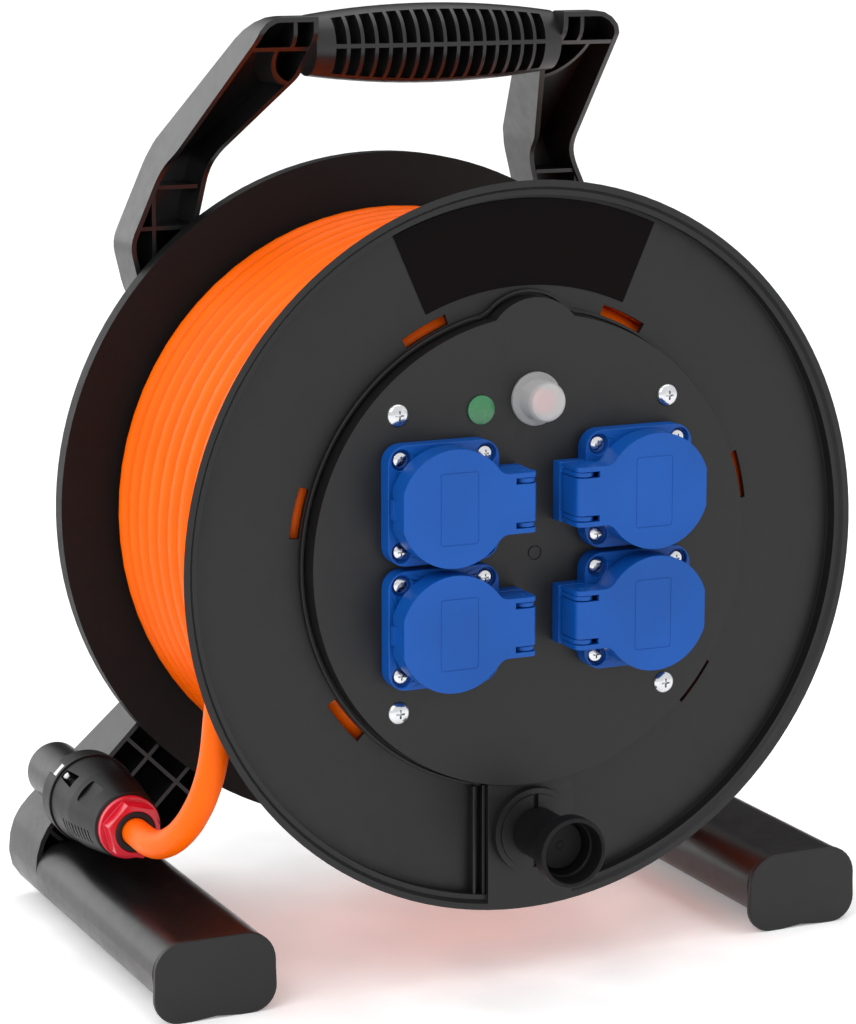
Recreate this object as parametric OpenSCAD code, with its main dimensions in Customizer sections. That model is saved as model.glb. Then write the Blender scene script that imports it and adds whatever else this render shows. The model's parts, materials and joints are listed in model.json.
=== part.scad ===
/* [Drum] */
// Diameter of both flanges
flange_d = 310; // [300:1:325]
// Distance from the front rim to the back rim
drum_w = 160; // [156:1:172]
// Depth of the front flange's rim, its web included
front_rim_h = 10; // [8:0.5:14]
// Depth of the back flange's rim, its web included
back_rim_h = 8; // [6:0.5:12]
// Thickness of the flange webs
web_t = 2.6; // [2:0.1:3.5]
// Thickness of the flange rims
rim_t = 2.8; // [2:0.1:4]
// Outer diameter of the barrel
barrel_d = 190; // [184:1:196]
// Wall of the barrel
barrel_wall = 3; // [2:0.1:4]
// Number of slots round each flange
slot_count = 7; // [5:1:8]
// Radius of the middle of the slots
slot_r = 105; // [104:0.5:107]
// Width of each slot
slot_w = 4.5; // [3:0.1:6]
// Angle that each slot covers
slot_angle = 11.5; // [6:0.5:16]

/* [Socket panel] */
// Diameter of the round socket panel
panel_d = 200; // [197:0.5:202]
// How far the panel stands in front of the front rim
panel_proud = 2.1; // [1:0.1:4]
// Wall of the panel
panel_wall = 3; // [2:0.1:4]
// Radius of the bulge at the top of the panel
bulge_r = 23; // [18:0.5:25]
// Distance of the bulge's centre from the axle
bulge_up = 84; // [82:0.5:85]
// Distance of each panel screw from both middle lines
panel_screw_at = 62.3; // [60:0.1:63]
// Diameter of the panel screw heads
panel_head_d = 9.7; // [8:0.1:11]

/* [Sockets] */
// Distance of the socket centres from the drum's upright middle line
socket_x = 45; // [45:0.5:48]
// Distance of the socket centres from the drum's level middle line
socket_z = 26; // [26:0.5:30]
// Side of the square socket base
base_side = 50; // [48:0.5:52]
// How far the socket base stands in front of the panel
base_t = 7.5; // [6.5:0.1:9]
// Diameter of the recess that takes a plug
recess_d = 39; // [38:0.5:40]
// Height of the collar round the recess
collar_h = 2.9; // [2:0.1:3.5]
// Depth of the recess that takes a plug
recess_deep = 17.5; // [16:0.5:20]
// Outer diameter of the well behind the panel
well_d = 43; // [43:0.5:45]
// Length of the well behind the panel
well_len = 34; // [30:1:40]
// Distance between the two pins of a plug
pin_pitch = 19; // [18:0.5:20]
// Spacing of the screws of a socket base
base_screw_pitch = 38; // [37:0.5:39]
// Diameter of a socket screw's head
base_head_d = 7.7; // [6:0.1:8]
// Diameter of a lid
lid_d = 49; // [47:0.5:50]
// Height of a lid
lid_t = 11; // [9:0.5:14]
// Width of the lid's hinge arm
arm_w = 25; // [24:0.5:28]
// Distance of the hinge pin from the drum's upright middle line
hinge_x = 13.5; // [13:0.1:15]
// Diameter of the hinge pins
hinge_pin_d = 3; // [2:0.1:3.6]
// Outer diameter of the hinge knuckles
knuckle_d = 8.8; // [8:0.1:10]

/* [Lamp and cut-out] */
// Diameter of the indicator lens
lens_d = 12; // [9:0.5:13]
// Diameter of the reset cap's foot
cap_foot_d = 22.5; // [18:0.5:24]
// Diameter of the reset cap
cap_d = 17; // [15:0.5:18]
// How far the reset cap stands in front of the panel
cap_len = 13.5; // [12:0.5:18]
// Diameter of the reset button
button_d = 10; // [8:0.5:11]

/* [Knob] */
// Distance of the knob from the axle
knob_r = 120; // [119:0.5:123]
// Width of the raised pad that carries the knob
pad_w = 40; // [38:1:46]
// Diameter of the knob's cup
knob_d = 30; // [26:0.5:34]
// Diameter of the knob's neck
neck_d = 21.5; // [18:0.5:24]
// Diameter of the fixed ring under the knob
knob_ring_d = 37; // [34:0.5:40]
// How far the knob reaches in front of the front rim
knob_reach = 40.4; // [34:0.1:50]
// Diameter of the knob's pin
knob_pin_d = 8; // [6:0.5:10]

/* [Frame] */
// Height of the axle above the ground
axle_h = 186; // [176:1:196]
// Gap between the drum and the frame
frame_gap = 3; // [2.5:0.5:6]
// Depth of the frame behind the drum
frame_t = 24; // [20:1:30]
// Wall of the frame
frame_wall = 2.2; // [1.8:0.1:3]
// Width of the legs
leg_w = 50; // [44:1:54]
// Thickness of the ribs in the frame
rib_t = 1.8; // [1.4:0.1:3]
// Height of the handle's corners above the axle
handle_h = 219; // [215:1:230]
// Diameter of the axle
axle_d = 20; // [16:0.5:24]

/* [Grip] */
// Half length of the grip
grip_half = 58; // [54:1:60]
// Diameter of the grip at its middle
grip_d = 34.4; // [30:0.2:36]
// Diameter of the grip at its ends
grip_end_d = 26; // [22:0.5:28]
// Pitch of the grip's ribs
grip_pitch = 6.3; // [5:0.1:8]

/* [Feet] */
// Distance of each foot from the middle
foot_x = 140.4; // [136:0.2:146]
// Width of a foot cap
foot_w = 54.8; // [50:0.2:58]
// Height of a foot cap
foot_h = 35; // [33:0.5:38]
// How much narrower than its cap a foot bar is, on each side
foot_step = 0.5; // [0.4:0.1:2]
// Height of a foot bar's underside above the ground
foot_clear = 3.7; // [2.5:0.1:5]
// Distance from the front rim back to the foot cap
foot_front = 8; // [4:1:20]
// Depth of a foot shell at the back of the frame
shell_t = 40; // [34:1:46]
// Length of a foot cap
cap_deep = 3; // [2:0.5:8]

/* [Cord and plug] */
// Diameter of the cord
cord_d = 12.2; // [12:0.1:12.3]
// Distance between turns of the cord
cord_pitch = 12.3; // [12.2:0.05:12.4]
// Number of turns side by side
turns = 11; // [9:1:11]
// Diameter of the plug's rim
plug_rim_d = 40.4; // [40:0.1:44]
// Diameter of the plug's front insert
plug_face_d = 39.4; // [37:0.1:39.6]
// Length of the plug without its pins
plug_len = 67.5; // [64:0.5:72]
// How far the boss that holds the plug reaches in front of the frame
park_len = 17.5; // [12:0.5:20]
// Diameter of the plug's pins
plug_pin_d = 4.8; // [4:0.1:5]
// Length of the plug's pins
plug_pin_len = 19; // [17:0.5:20]

/* [Hidden] */

$fn = 64;
black = "#262626";
grey = "#5a5a5a";
blue = "#1d55c4";
orange = "#ff7a10";
steel = "#c8c8cc";
brass = "#c8a050";
gap = 0.3;              // between pieces of different bodies
fit = 0.05;             // radial clearance of a running fit
far = 400;              // longer than any piece, for cuts that go right through

// Everything below is placed from the middle of the front rim: X to the right, Y to the back, Z up
barrel_r = barrel_d / 2;
panel_r = panel_d / 2;
flange_r = flange_d / 2;
front_in = front_rim_h;                 // inner face of the front flange
back_in = drum_w - back_rim_h;          // inner face of the back flange
web_y = front_rim_h - web_t;            // front face of the front web
panel_y = -panel_proud;                 // front face of the panel
base_y = panel_y - base_t;              // front face of the socket bases
frame_y = drum_w + frame_gap;           // front face of the frame
frame_back = frame_y + frame_t;
shell_back = frame_y + shell_t;         // furthest back that the part reaches
back_head_h = 2.4;                      // heads of the screws in the back
mid_y = (shell_back + back_head_h - knob_reach) / 2; // middle of the part from front to back
opening_r = barrel_r - 13;              // opening in the front web behind the panel
hole_margin = 0.3;                      // round pieces that pass through a cover
seat_fit = 0.2;                         // a piece that seats in a pocket of its own body

// Hub and axle
axle_r = axle_d / 2;
bush_r = axle_r + 3;
hub_r = bush_r + 6;
hub_front = back_in - 54;
hub_back = drum_w;
bush_len = 15;
bush_lip = 1.5;
hub_ribs = 8;
axle_front = hub_front - bush_lip - gap;
axle_head_r = axle_r + 5;
boss_r = hub_r + 7;                     // hub boss of the frame

// Panel screws
boss_screw_r = 1.9;
panel_boss_r = 4.8;
panel_boss_len = 30;

// Hinges and lids, measured from a socket's centre towards its hinge
hinge_at = socket_x - hinge_x;
knuckle_r = knuckle_d / 2;
hinge_pin_r = hinge_pin_d / 2;
collar_y = base_y - collar_h;           // front of the collar round the recess
lid_back = collar_y - gap;
lid_front = lid_back - lid_t;
lid_low = base_y - gap;                 // how far back the lid's curled end reaches
hinge_y = lid_front + knuckle_r + 0.4;
swing_r = norm([knuckle_r, lid_low - hinge_y]);
bracket_y = hinge_y + swing_r + 2 * gap; // the curled end swings clear of the bracket
ear_in = 8.2;
ear_out = 10.3;
slot_in = ear_in - gap;
slot_out = ear_out + 0.2;
spring_half = 2.6;
lid_shift = -1.3;
lid_skin = 2;
spring_r = knuckle_r - lid_skin - seat_fit; // a spring clears the inside of the lid's curled end
lid_flat = lid_shift - lid_d / 2 + 1.3;
lid_curl = 3.2;
lid_fillet = 5.7;
gasket_w = 1.8;
collar_r = well_d / 2 + 0.5;

// Cord winding: three layers, the last turn of the outer one leads to the plug
cord_r = cord_d / 2;
wind_start = (front_in + back_in - turns * cord_pitch) / 2;
wind_end = wind_start + turns * cord_pitch;
layer_1 = barrel_r + cord_r;
layer_2 = layer_1 + cord_d;
layer_3 = layer_2 + cord_d;
last_turn_y = wind_start + cord_pitch / 2;

// Plug, parked beside the left leg
plug_x = -149.5;
plug_z = -124;
plug_face = frame_y - park_len;
gland_y = plug_face - plug_len;
insert_len = 9.3;
plug_rim_t = 2.2;
plug_rim_y = plug_face - insert_len - plug_rim_t;
nut_len = 10;
nut_r = 13.7;
seal_len = 22;
gland_r = 9;
earth_w = 6;
earth_deep = 3.4;
rim_screw_d = 6.4;
rim_screw_z = plug_rim_d / 2 - 4.6;
park_r = pin_pitch / 2 + 3.5;

// Free end of the cord, from the last turn to the plug
TAIL = [
    [-126.3, 19.7, 0], [-128.7, 19.7, -20], [-131.2, 19.6, -40], [-133.6, 19.5, -60],
    [-136.2, 19.5, -80], [-138.8, 21, -91.5], [-141.6, 25.5, -102], [-144.2, 32.5, -111],
    [-146.6, 41.5, -118], [-148.6, 52, -122.5], [-149.5, 63.5, -124], [-149.5, 72, -124]
];
TAIL_TURN_FROM = -155;
TAIL_TURN_TO = 172;
TAIL_TURN_STEPS = 30;

// ---- Geometry helpers ----

module place() {
    translate([0, -mid_y, axle_h]) children();
}

// A profile of [radius, Y] turned about the Y axis
module turned(angle = 360) {
    rotate([-90, 0, 0]) rotate_extrude(angle = angle, $fn = 96) children();
}

// A cylinder along Y from y0 to y1
module rod(r, y0, y1) {
    translate([0, y0, 0]) rotate([-90, 0, 0]) cylinder(r = r, h = y1 - y0);
}

// A ring along Y from y0 to y1
module ring(r, r_in, y0, y1) {
    difference() {
        rod(r, y0, y1);
        rod(r_in, y0 - 1, y1 + 1);
    }
}

// A box from its lowest to its highest corner
module block(low, high) {
    translate(low) cube(high - low);
}

// A flat shape in X and Z, given thickness from y0 to y1
module slab(y0, y1) {
    translate([0, y1, 0]) rotate([90, 0, 0]) linear_extrude(y1 - y0) children();
}

// A flat shape in Y and Z, given width from x0 to x1
module side_slab(x0, x1) {
    translate([x0, 0, 0]) rotate([90, 0, 90]) linear_extrude(x1 - x0) children();
}

module rounded_square(w, h, r) {
    square([w - 2 * r, h], center = true);
    square([w, h - 2 * r], center = true);
    for (x = [-1, 1], y = [-1, 1])
        translate([x * (w / 2 - r), y * (h / 2 - r)]) circle(r);
}

// A pan head along Y, its seat at y0 and its crown towards -Y
module pan_head(d, h, y0) {
    difference() {
        intersection() {
            rod(d / 2, y0 - h, y0);
            translate([0, y0 + d / 2, 0]) sphere(r = d / 2 + h);
        }
        for (a = [0, 90]) rotate([0, a, 0])
            block([-d * 0.3, y0 - h - 1, -0.5], [d * 0.3, y0 - h * 0.45, 0.5]);
    }
}

// Outlines are closed lists of [x, z, corner radius], counterclockwise
function flat(p) = [p[0], p[1]];
function unit(v) = v / norm(v);
function left_of(v) = [-v[1], v[0]];
function cross2(a, b) = a[0] * b[1] - a[1] * b[0];
function turned_by(v, a) = [v[0] * cos(a) - v[1] * sin(a), v[0] * sin(a) + v[1] * cos(a)];
function into(p, i) = unit(flat(p[i]) - flat(p[(i + len(p) - 1) % len(p)]));
function out_of(p, i) = unit(flat(p[(i + 1) % len(p)]) - flat(p[i]));

// One corner of an outline as an arc of a few straight steps
function arc_corner(p, i, steps) =
    let (u = into(p, i), v = out_of(p, i), r = p[i][2],
         a = atan2(cross2(u, v), u * v), side = a > 0 ? 1 : -1,
         start = flat(p[i]) - u * r * tan(abs(a) / 2),
         centre = start + left_of(u) * r * side)
    r < 0.05 || abs(a) < 1 ? [flat(p[i])]
        : [for (k = [0:steps]) centre + turned_by(start - centre, a * k / steps)];

function rounded(p, steps = 4) = [for (i = [0:len(p) - 1]) each arc_corner(p, i, steps)];

// The same outline with every side moved inwards by d
function inset(p, d) = [for (i = [0:len(p) - 1])
    let (u = into(p, i), v = out_of(p, i), m = unit(left_of(u) + left_of(v)),
         k = d / (m * left_of(u)), r = p[i][2])
    [p[i][0] + m[0] * k, p[i][1] + m[1] * k, r < 0.05 ? 0 : max(0.5, cross2(u, v) > 0 ? r - d : r + d)]];

function mirrored(p) = [for (i = [len(p) - 1:-1:0]) [-p[i][0], p[i][1], p[i][2]]];

// ---- Frame ----

shell_half = foot_w / 2 - foot_step;
shell_low = -axle_h + foot_clear;
under_r = 17.5;                          // lower corners of a foot bar and of its shell
pad_half = 8;                            // half width of the pad under each shell
shell_top = -axle_h + foot_h + 3;
leg_out = 18.5;                          // a leg's outer side lies on x + z = leg_out
leg_in = leg_out - leg_w * sqrt(2);      // and its inner side on x + z = leg_in
arm_out = 20;                            // an upper arm's outer side lies on x - z = arm_out
arm_in = -35;                            // and its inner side on x - z = arm_in
elbow_x = 111;                           // where an arm turns up into the handle
notch_x = 86;                            // the same corner on the arm's inner side
lean = 76;                               // how far the handle reaches in front of the frame
leg_rib = 9.6;                           // distance of a leg's two long ribs from its middle
grip_z = handle_h - 13;
grip_y = frame_y - 61;

// Right half of the frame from the front, from the notch between the legs up to the one between the arms
HALF = [
    [foot_x - shell_half, leg_in - foot_x + shell_half, 12],
    [foot_x - shell_half, shell_low, under_r],
    [foot_x + shell_half, shell_low, under_r],
    [foot_x + shell_half, leg_out - foot_x - shell_half, 34],
    [(leg_out + arm_out) / 2, (leg_out - arm_out) / 2, 12],
    [elbow_x, elbow_x - arm_out, 30],
    [117, 117, 16],
    [98.5, 158, 26],
    [84, handle_h, 13],
    [grip_half, handle_h, 0],
    [grip_half, grip_z - 14, 9],
    [77, 158, 16],
    [notch_x, notch_x - arm_in, 14]
];
FRONT = concat([[0, leg_in, 14]], HALF, [[0, -arm_in, 14]], mirrored(HALF));

// The frame from the side as [y, z, corner radius]: upright behind the drum, leaning over it above
LEAN = [
    [shell_back, -axle_h - 1, 0], [shell_back, shell_top, 12], [frame_back + 6, shell_top + 50, 0],
    [frame_back, 60, 0], [frame_back, 158, 14], [frame_y - lean + 10, handle_h, 5],
    [frame_y - lean, handle_h, 1], [frame_y - lean, handle_h - 9, 8], [frame_y, handle_h - lean + 7, 14],
    [frame_y, -axle_h - 1, 0]
];

// The space in front of the frame's skin, from the side
HOLLOW = [
    [shell_back - frame_wall, -axle_h - 1, 0], [shell_back - frame_wall, shell_top, 12],
    [frame_back + 6 - frame_wall, shell_top + 50, 0], [frame_back - frame_wall, 60, 0],
    [frame_back - frame_wall, 157, 14], [frame_y - lean + 8, handle_h - 2.5, 4], [0, handle_h - 2.5, 0],
    [0, -axle_h - 1, 0]
];

module leaning(outline) {
    intersection() {
        slab(0, far) children();
        side_slab(-far / 2, far / 2) polygon(rounded(outline));
    }
}

// The ribs of one leg, arm and handle corner
module half_ribs() {
    leg_mid = (leg_out + leg_in) / 2;
    arm_mid = -(arm_out + arm_in) / 2;
    intersection() {
        translate([0, leg_mid]) rotate(-45) {
            for (t = [-leg_rib, leg_rib]) translate([0, t - rib_t / 2]) square([260, rib_t]);
            for (s = [40.5:27:210]) translate([s, -leg_w / 2 - 1]) square([rib_t, leg_w + 2]);
        }
        translate([0, shell_top - 2]) square([far, far]);
    }
    translate([0, arm_mid]) rotate(45) {
        translate([0, -rib_t / 2]) square([132, rib_t]);
        for (s = [40:27:130]) translate([s, -21]) square([rib_t, 42]);
    }
    translate([104, 96]) square([rib_t, 52]);
    for (z = [124, 142]) translate([84, z]) square([30, rib_t]);
    translate([grip_half, grip_z - rib_t / 2]) square([30, rib_t]);
    translate([grip_half + 9, grip_z]) square([rib_t, 14]);
    translate([grip_half, grip_z]) intersection() {
        difference() {
            circle(17);
            circle(17 - rib_t);
        }
        translate([0, -20]) square([20, 20]);
    }
}

module frame() {
    place() color(black) difference() {
        union() {
            difference() {
                leaning(LEAN) polygon(rounded(FRONT));
                leaning(HOLLOW) polygon(rounded(inset(FRONT, frame_wall)));
            }
            intersection() {
                leaning(HOLLOW) polygon(rounded(inset(FRONT, frame_wall - 0.5)));
                translate([0, 1.5, -1]) leaning(LEAN) {
                    half_ribs();
                    mirror([1, 0]) half_ribs();
                }
            }
            rod(boss_r, frame_y, frame_back);
            translate([plug_x, 0, plug_z]) rod(park_r, plug_face, frame_back);
            for (side = [-1, 1])
                block([side * foot_x - pad_half, frame_y + 3, -axle_h], [side * foot_x + pad_half, shell_back - 1, shell_low + 1]);
        }
        rod(axle_r, frame_y - 1, frame_back + 1);
        rod(axle_head_r + seat_fit, frame_back, frame_back + far);
        translate([plug_x, 0, plug_z]) rotate([0, -45, 0]) for (s = [-1, 1]) translate([s * pin_pitch / 2, 0, 0])
            rod(plug_pin_d / 2 + 0.6, plug_face - 1, frame_back - frame_wall);
        for (side = [-1, 1], x = [-1, 1]) translate([side * foot_x + x * port_x, 0, port_z])
            rod(boss_screw_r + 0.2, shell_back - 2 * frame_wall, shell_back + 1);
    }
}

// ---- Grip ----

GRIP_STEPS = 8;
grip_rise = (grip_d - grip_end_d) / 2;
grip_skin = 2.4;
grip_rib = 1.6;
grip_spine = 1.3;                        // half thickness of the upright web between front and back cells
grip_solid = 4;                          // solid stretch at each end
function grip_radius(x) = grip_end_d / 2 + grip_rise * (1 - pow(x / grip_half, 2));
function grip_profile(less) = [for (i = [-GRIP_STEPS:GRIP_STEPS])
    let (x = grip_half * i / GRIP_STEPS) [x, grip_radius(x) - less]];

// The cells between the grip's ribs, from the front
module grip_cells() {
    count = floor((grip_half - grip_solid) / grip_pitch);
    intersection() {
        polygon(concat([[-grip_half, 0]], grip_profile(grip_skin), [[grip_half, 0]]));
        for (i = [-count:count - 1])
            translate([i * grip_pitch + grip_rib / 2, rib_t / 2]) square([grip_pitch - grip_rib, far]);
    }
}

module handle_grip() {
    place() color(black) translate([0, grip_y, grip_z]) difference() {
        rotate([0, 90, 0]) rotate_extrude($fn = 64) polygon(concat(
            [[0, -grip_half]], [for (p = grip_profile(0)) [p[1], p[0]]], [[0, grip_half]]
        ));
        for (back = [0, 1], up = [0, 1]) mirror([0, back, 0]) mirror([0, 0, up])
            slab(-far, -grip_spine) grip_cells();
    }
}

// ---- Feet ----

// A foot cap's outline: flat on top, waisted at the sides, with two flat lobes below that meet the ground
function foot_outline(w, h) = [
    [-w * 0.2, -h / 2, 0], [0, -h / 2 + 1, 0], [w * 0.2, -h / 2, 0], [w / 2, -h / 2, 11], [w / 2 - 0.7, h * 0.04, 4],
    [w / 2 - 0.6, h / 2, 13], [-w / 2 + 0.6, h / 2, 13], [-w / 2 + 0.7, h * 0.04, 4], [-w / 2, -h / 2, 11]
];

cap_z = -axle_h + foot_h / 2;
bar_top = -axle_h + foot_h - foot_step;
bar_front = foot_front + cap_deep;
bar_back = shell_back - frame_wall;
bar_wall = 3;
spigot_in = frame_wall + seat_fit;       // the end of a bar steps down by this much to fit its shell
port_r = 4.4;
port_x = foot_w / 4;
port_z = bar_top - spigot_in - port_r;

// A foot bar's outline, flush with its shell
BAR = [
    [-shell_half, shell_low, under_r], [shell_half, shell_low, under_r], [shell_half, bar_top, 13], [-shell_half, bar_top, 13]
];

module bar_section(less, steps = 8) {
    polygon(rounded(inset(BAR, less), steps));
}

module foot_bar(side) {
    place() color(black) translate([side * foot_x, 0, 0]) difference() {
        union() {
            difference() {
                union() {
                    slab(bar_front, frame_y) bar_section(0);
                    slab(frame_y - 1, bar_back) bar_section(spigot_in, 4);
                }
                slab(bar_front - 1, frame_y - 3) bar_section(bar_wall);
                slab(bar_front, bar_back + 1) bar_section(spigot_in + bar_wall - 1);
            }
            for (x = [-1, 1]) translate([x * port_x, 0, port_z]) rod(port_r, bar_front + 16, bar_back);
        }
        for (x = [-1, 1]) translate([x * port_x, 0, port_z]) rod(boss_screw_r, bar_front + 15, bar_back + 1);
    }
}

module foot_bar_left() foot_bar(-1);
module foot_bar_right() foot_bar(1);

module foot_cap(side) {
    place() color(black) translate([side * foot_x, 0, 0]) {
        translate([0, 0, cap_z]) slab(foot_front, bar_front) polygon(rounded(foot_outline(foot_w, foot_h), 8));
        difference() {
            slab(bar_front, bar_front + 14) bar_section(bar_wall);
            slab(bar_front, bar_front + 15) bar_section(2 * bar_wall);
        }
    }
}

module foot_cap_left() foot_cap(-1);
module foot_cap_right() foot_cap(1);

// A pan head screw with its head behind y0 and its shank reaching forwards
module back_screw(d, y0, len) {
    translate([0, y0, 0]) mirror([0, 1, 0]) {
        pan_head(d, back_head_h, 0);
        rod(boss_screw_r, 0, len);
    }
}

module foot_screws() {
    place() color(steel) for (side = [-1, 1], x = [-1, 1])
        translate([side * foot_x + x * port_x, 0, port_z]) back_screw(panel_head_d, shell_back, frame_wall + 14);
}

// ---- Axle ----

module axle() {
    place() color(steel) difference() {
        union() {
            rod(axle_r, axle_front, frame_back);
            rod(axle_head_r, frame_back, frame_back + 3);
        }
        rod(4, axle_front - 1, axle_front + 22);
    }
}

module axle_washer() {
    place() color(steel) ring(bush_r + 2, 4, axle_front - 2.5, axle_front);
}

module axle_bolt() {
    place() color(steel) {
        difference() {
            rod(6.5, axle_front - 8, axle_front - 2.5);
            translate([0, axle_front - 9, 0]) rotate([-90, 0, 0]) cylinder(r = 3.4, h = 5, $fn = 6);
        }
        rod(4, axle_front - 2.5, axle_front + 20);
    }
}

// ---- Drum ----

// A sector of a turned profile: mid is its middle angle, seen from the front and counted from +X
module sector(mid, span) {
    rotate([-90, 0, 0]) rotate([0, 0, -mid - span / 2]) rotate_extrude(angle = span, $fn = 96) children();
}

module flange_slots(y0, y1, skip_bottom) {
    for (i = [0:slot_count - 1]) {
        a = 90 + 360 / slot_count * (i + 0.5);
        if (!skip_bottom || abs(a - 270) > 15)
            sector(a, slot_angle) translate([slot_r - slot_w / 2, y0]) square([slot_w, y1 - y0]);
    }
}

module at_panel_screws() {
    for (x = [-1, 1], z = [-1, 1]) translate([x * panel_screw_at, 0, z * panel_screw_at]) children();
}

module front_flange() {
    step_r = flange_r - rim_t - 2.2;
    place() color(black) difference() {
        union() {
            turned() polygon([
                [opening_r, front_in], [opening_r, web_y], [step_r, web_y], [step_r, 1.8],
                [flange_r - rim_t, 1.8], [flange_r - rim_t, 0], [flange_r, 0], [flange_r, front_in]
            ]);
            intersection() {
                ring(flange_r - 1, panel_r + 0.5, 0, web_y + 1);
                block([-pad_w / 2, -1, -flange_r], [pad_w / 2, front_in, 0]);
            }
        }
        flange_slots(-1, front_in + 1, true);
        at_panel_screws() rod(boss_screw_r + 0.3, -1, front_in + 1);
        translate([0, 0, -knob_r]) rod(knob_pin_d / 2, -1, front_in + 1);
    }
}

module barrel() {
    place() color(black) difference() {
        union() {
            ring(barrel_r, barrel_r - barrel_wall, front_in, back_in);
            intersection() {
                at_panel_screws() {
                    rod(panel_boss_r, front_in, front_in + panel_boss_len);
                    rod(panel_boss_r, back_in - panel_boss_len, back_in);
                }
                rod(barrel_r - barrel_wall / 2, front_in, back_in);
            }
        }
        at_panel_screws() {
            rod(boss_screw_r, front_in - 1, front_in + panel_boss_len - 3);
            rod(boss_screw_r, back_in - panel_boss_len + 3, back_in + 1);
        }
        translate([0, lead_y, -barrel_r - 1]) cylinder(r = cord_r + hole_margin, h = barrel_wall + 8);
    }
}

module back_flange() {
    place() color(black) difference() {
        union() {
            turned() polygon([
                [bush_r, hub_front], [hub_r, hub_front], [hub_r, back_in], [flange_r, back_in],
                [flange_r, drum_w], [flange_r - rim_t, drum_w], [flange_r - rim_t, back_in + web_t],
                [hub_r, back_in + web_t], [hub_r, hub_back], [bush_r, hub_back]
            ]);
            for (i = [0:hub_ribs - 1]) rotate([0, 360 / hub_ribs * (i + 0.5), 0]) {
                block([hub_r - 2, back_in - 24, -rib_t / 2], [barrel_r - barrel_wall - 8, back_in + 0.5, rib_t / 2]);
                block([hub_r - 2, back_in, -rib_t / 2], [barrel_r, drum_w - 0.5, rib_t / 2]);
            }
            ring(barrel_r + 1, barrel_r - rib_t + 1, back_in, drum_w - 0.5);
            for (x = [-1, 1]) block([x * clamp_x - 4.5, lead_y, clamp_low], [x * clamp_x + 4.5, back_in + 1, clamp_high]);
        }
        flange_slots(back_in - 1, drum_w + 1, false);
        at_panel_screws() rod(boss_screw_r + 0.2, back_in - 1, drum_w + 1);
        for (x = [-1, 1]) translate([x * clamp_x, 0, (clamp_low + clamp_high) / 2]) rod(clamp_screw_r, lead_y - 1, back_in - 1);
    }
}

module drum_screws() {
    place() color(steel) at_panel_screws() back_screw(panel_head_d, back_in + web_t, panel_boss_len - 6);
}

module hub_bushes() {
    place() color(grey) {
        ring(bush_r, axle_r + fit, hub_front, hub_front + bush_len);
        ring(hub_r, axle_r + fit, hub_front - bush_lip, hub_front);
        ring(bush_r, axle_r + fit, hub_back - bush_len, hub_back);
        ring(hub_r, axle_r + fit, hub_back, frame_y - gap);
    }
}

label_in = max(panel_r, bulge_up + bulge_r) + 4;
label_out = flange_r - rim_t - 3.7;

module label_plate() {
    place() color("#120a0c") sector(90, 50)
        translate([label_in, web_y - 0.6]) square([label_out - label_in, 0.6]);
}

// ---- Socket panel ----

gasket_t = 1;
cutout_z = bulge_up - 19;
lens_at = [-25, 0, 62];

// The panel's outline: it has a bulge at the top, holds its screws and clears the knob's ring
module panel_outline(less) {
    difference() {
        union() {
            circle(panel_r - less, $fn = 128);
            translate([0, bulge_up]) circle(bulge_r - less);
            for (x = [-1, 1], z = [-1, 1]) translate([x * panel_screw_at, z * panel_screw_at])
                circle(panel_boss_r + panel_wall + fit - less);
        }
        translate([0, -knob_r]) circle(knob_ring_d / 2 + 1.2 + less);
    }
}

module at_socket(i) {
    left_side = i % 2 == 1;
    translate([(left_side ? -1 : 1) * socket_x, 0, (i < 3 ? 1 : -1) * socket_z])
        if (left_side) children();
        else mirror([1, 0, 0]) children();
}

module at_base_screws() {
    for (x = [-1, 1], z = [-1, 1]) translate([x * base_screw_pitch / 2, 0, z * base_screw_pitch / 2]) children();
}

module centre_panel() {
    back_y = panel_y + panel_wall;
    place() color(black) difference() {
        union() {
            difference() {
                slab(panel_y, web_y - gasket_t) panel_outline(0);
                slab(back_y, web_y) panel_outline(panel_wall);
            }
            at_panel_screws() rod(panel_boss_r, back_y - 1, web_y);
        }
        at_panel_screws() rod(boss_screw_r + 0.3, panel_y - 1, web_y + 1);
        for (i = [1:4]) at_socket(i) {
            rod(well_d / 2 + hole_margin, panel_y - 1, web_y);
            at_base_screws() rod(socket_screw_r, panel_y - 1, web_y);
        }
        translate(lens_at) rod(lens_neck_r + hole_margin, panel_y - 1, web_y);
        translate([0, 0, cutout_z]) rod(neck_r + hole_margin, panel_y - 1, web_y);
    }
}

module panel_gasket() {
    place() color(grey) slab(web_y - gasket_t, web_y) difference() {
        panel_outline(0);
        panel_outline(panel_wall);
    }
}

module panel_screws() {
    place() color(steel) at_panel_screws() {
        pan_head(panel_head_d, 2.2, panel_y);
        rod(boss_screw_r, panel_y, front_in + panel_boss_len - 6);
    }
}

// ---- Sockets ----

socket_screw_r = 1.5;
sleeve_r = 3.4;
sleeve_len = 14;
floor_y = collar_y + recess_deep;
head_seat = base_y + 2.2;                // the socket screws' heads lie below the base's face
clip_w = 6;
clip_t = 0.8;

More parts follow.
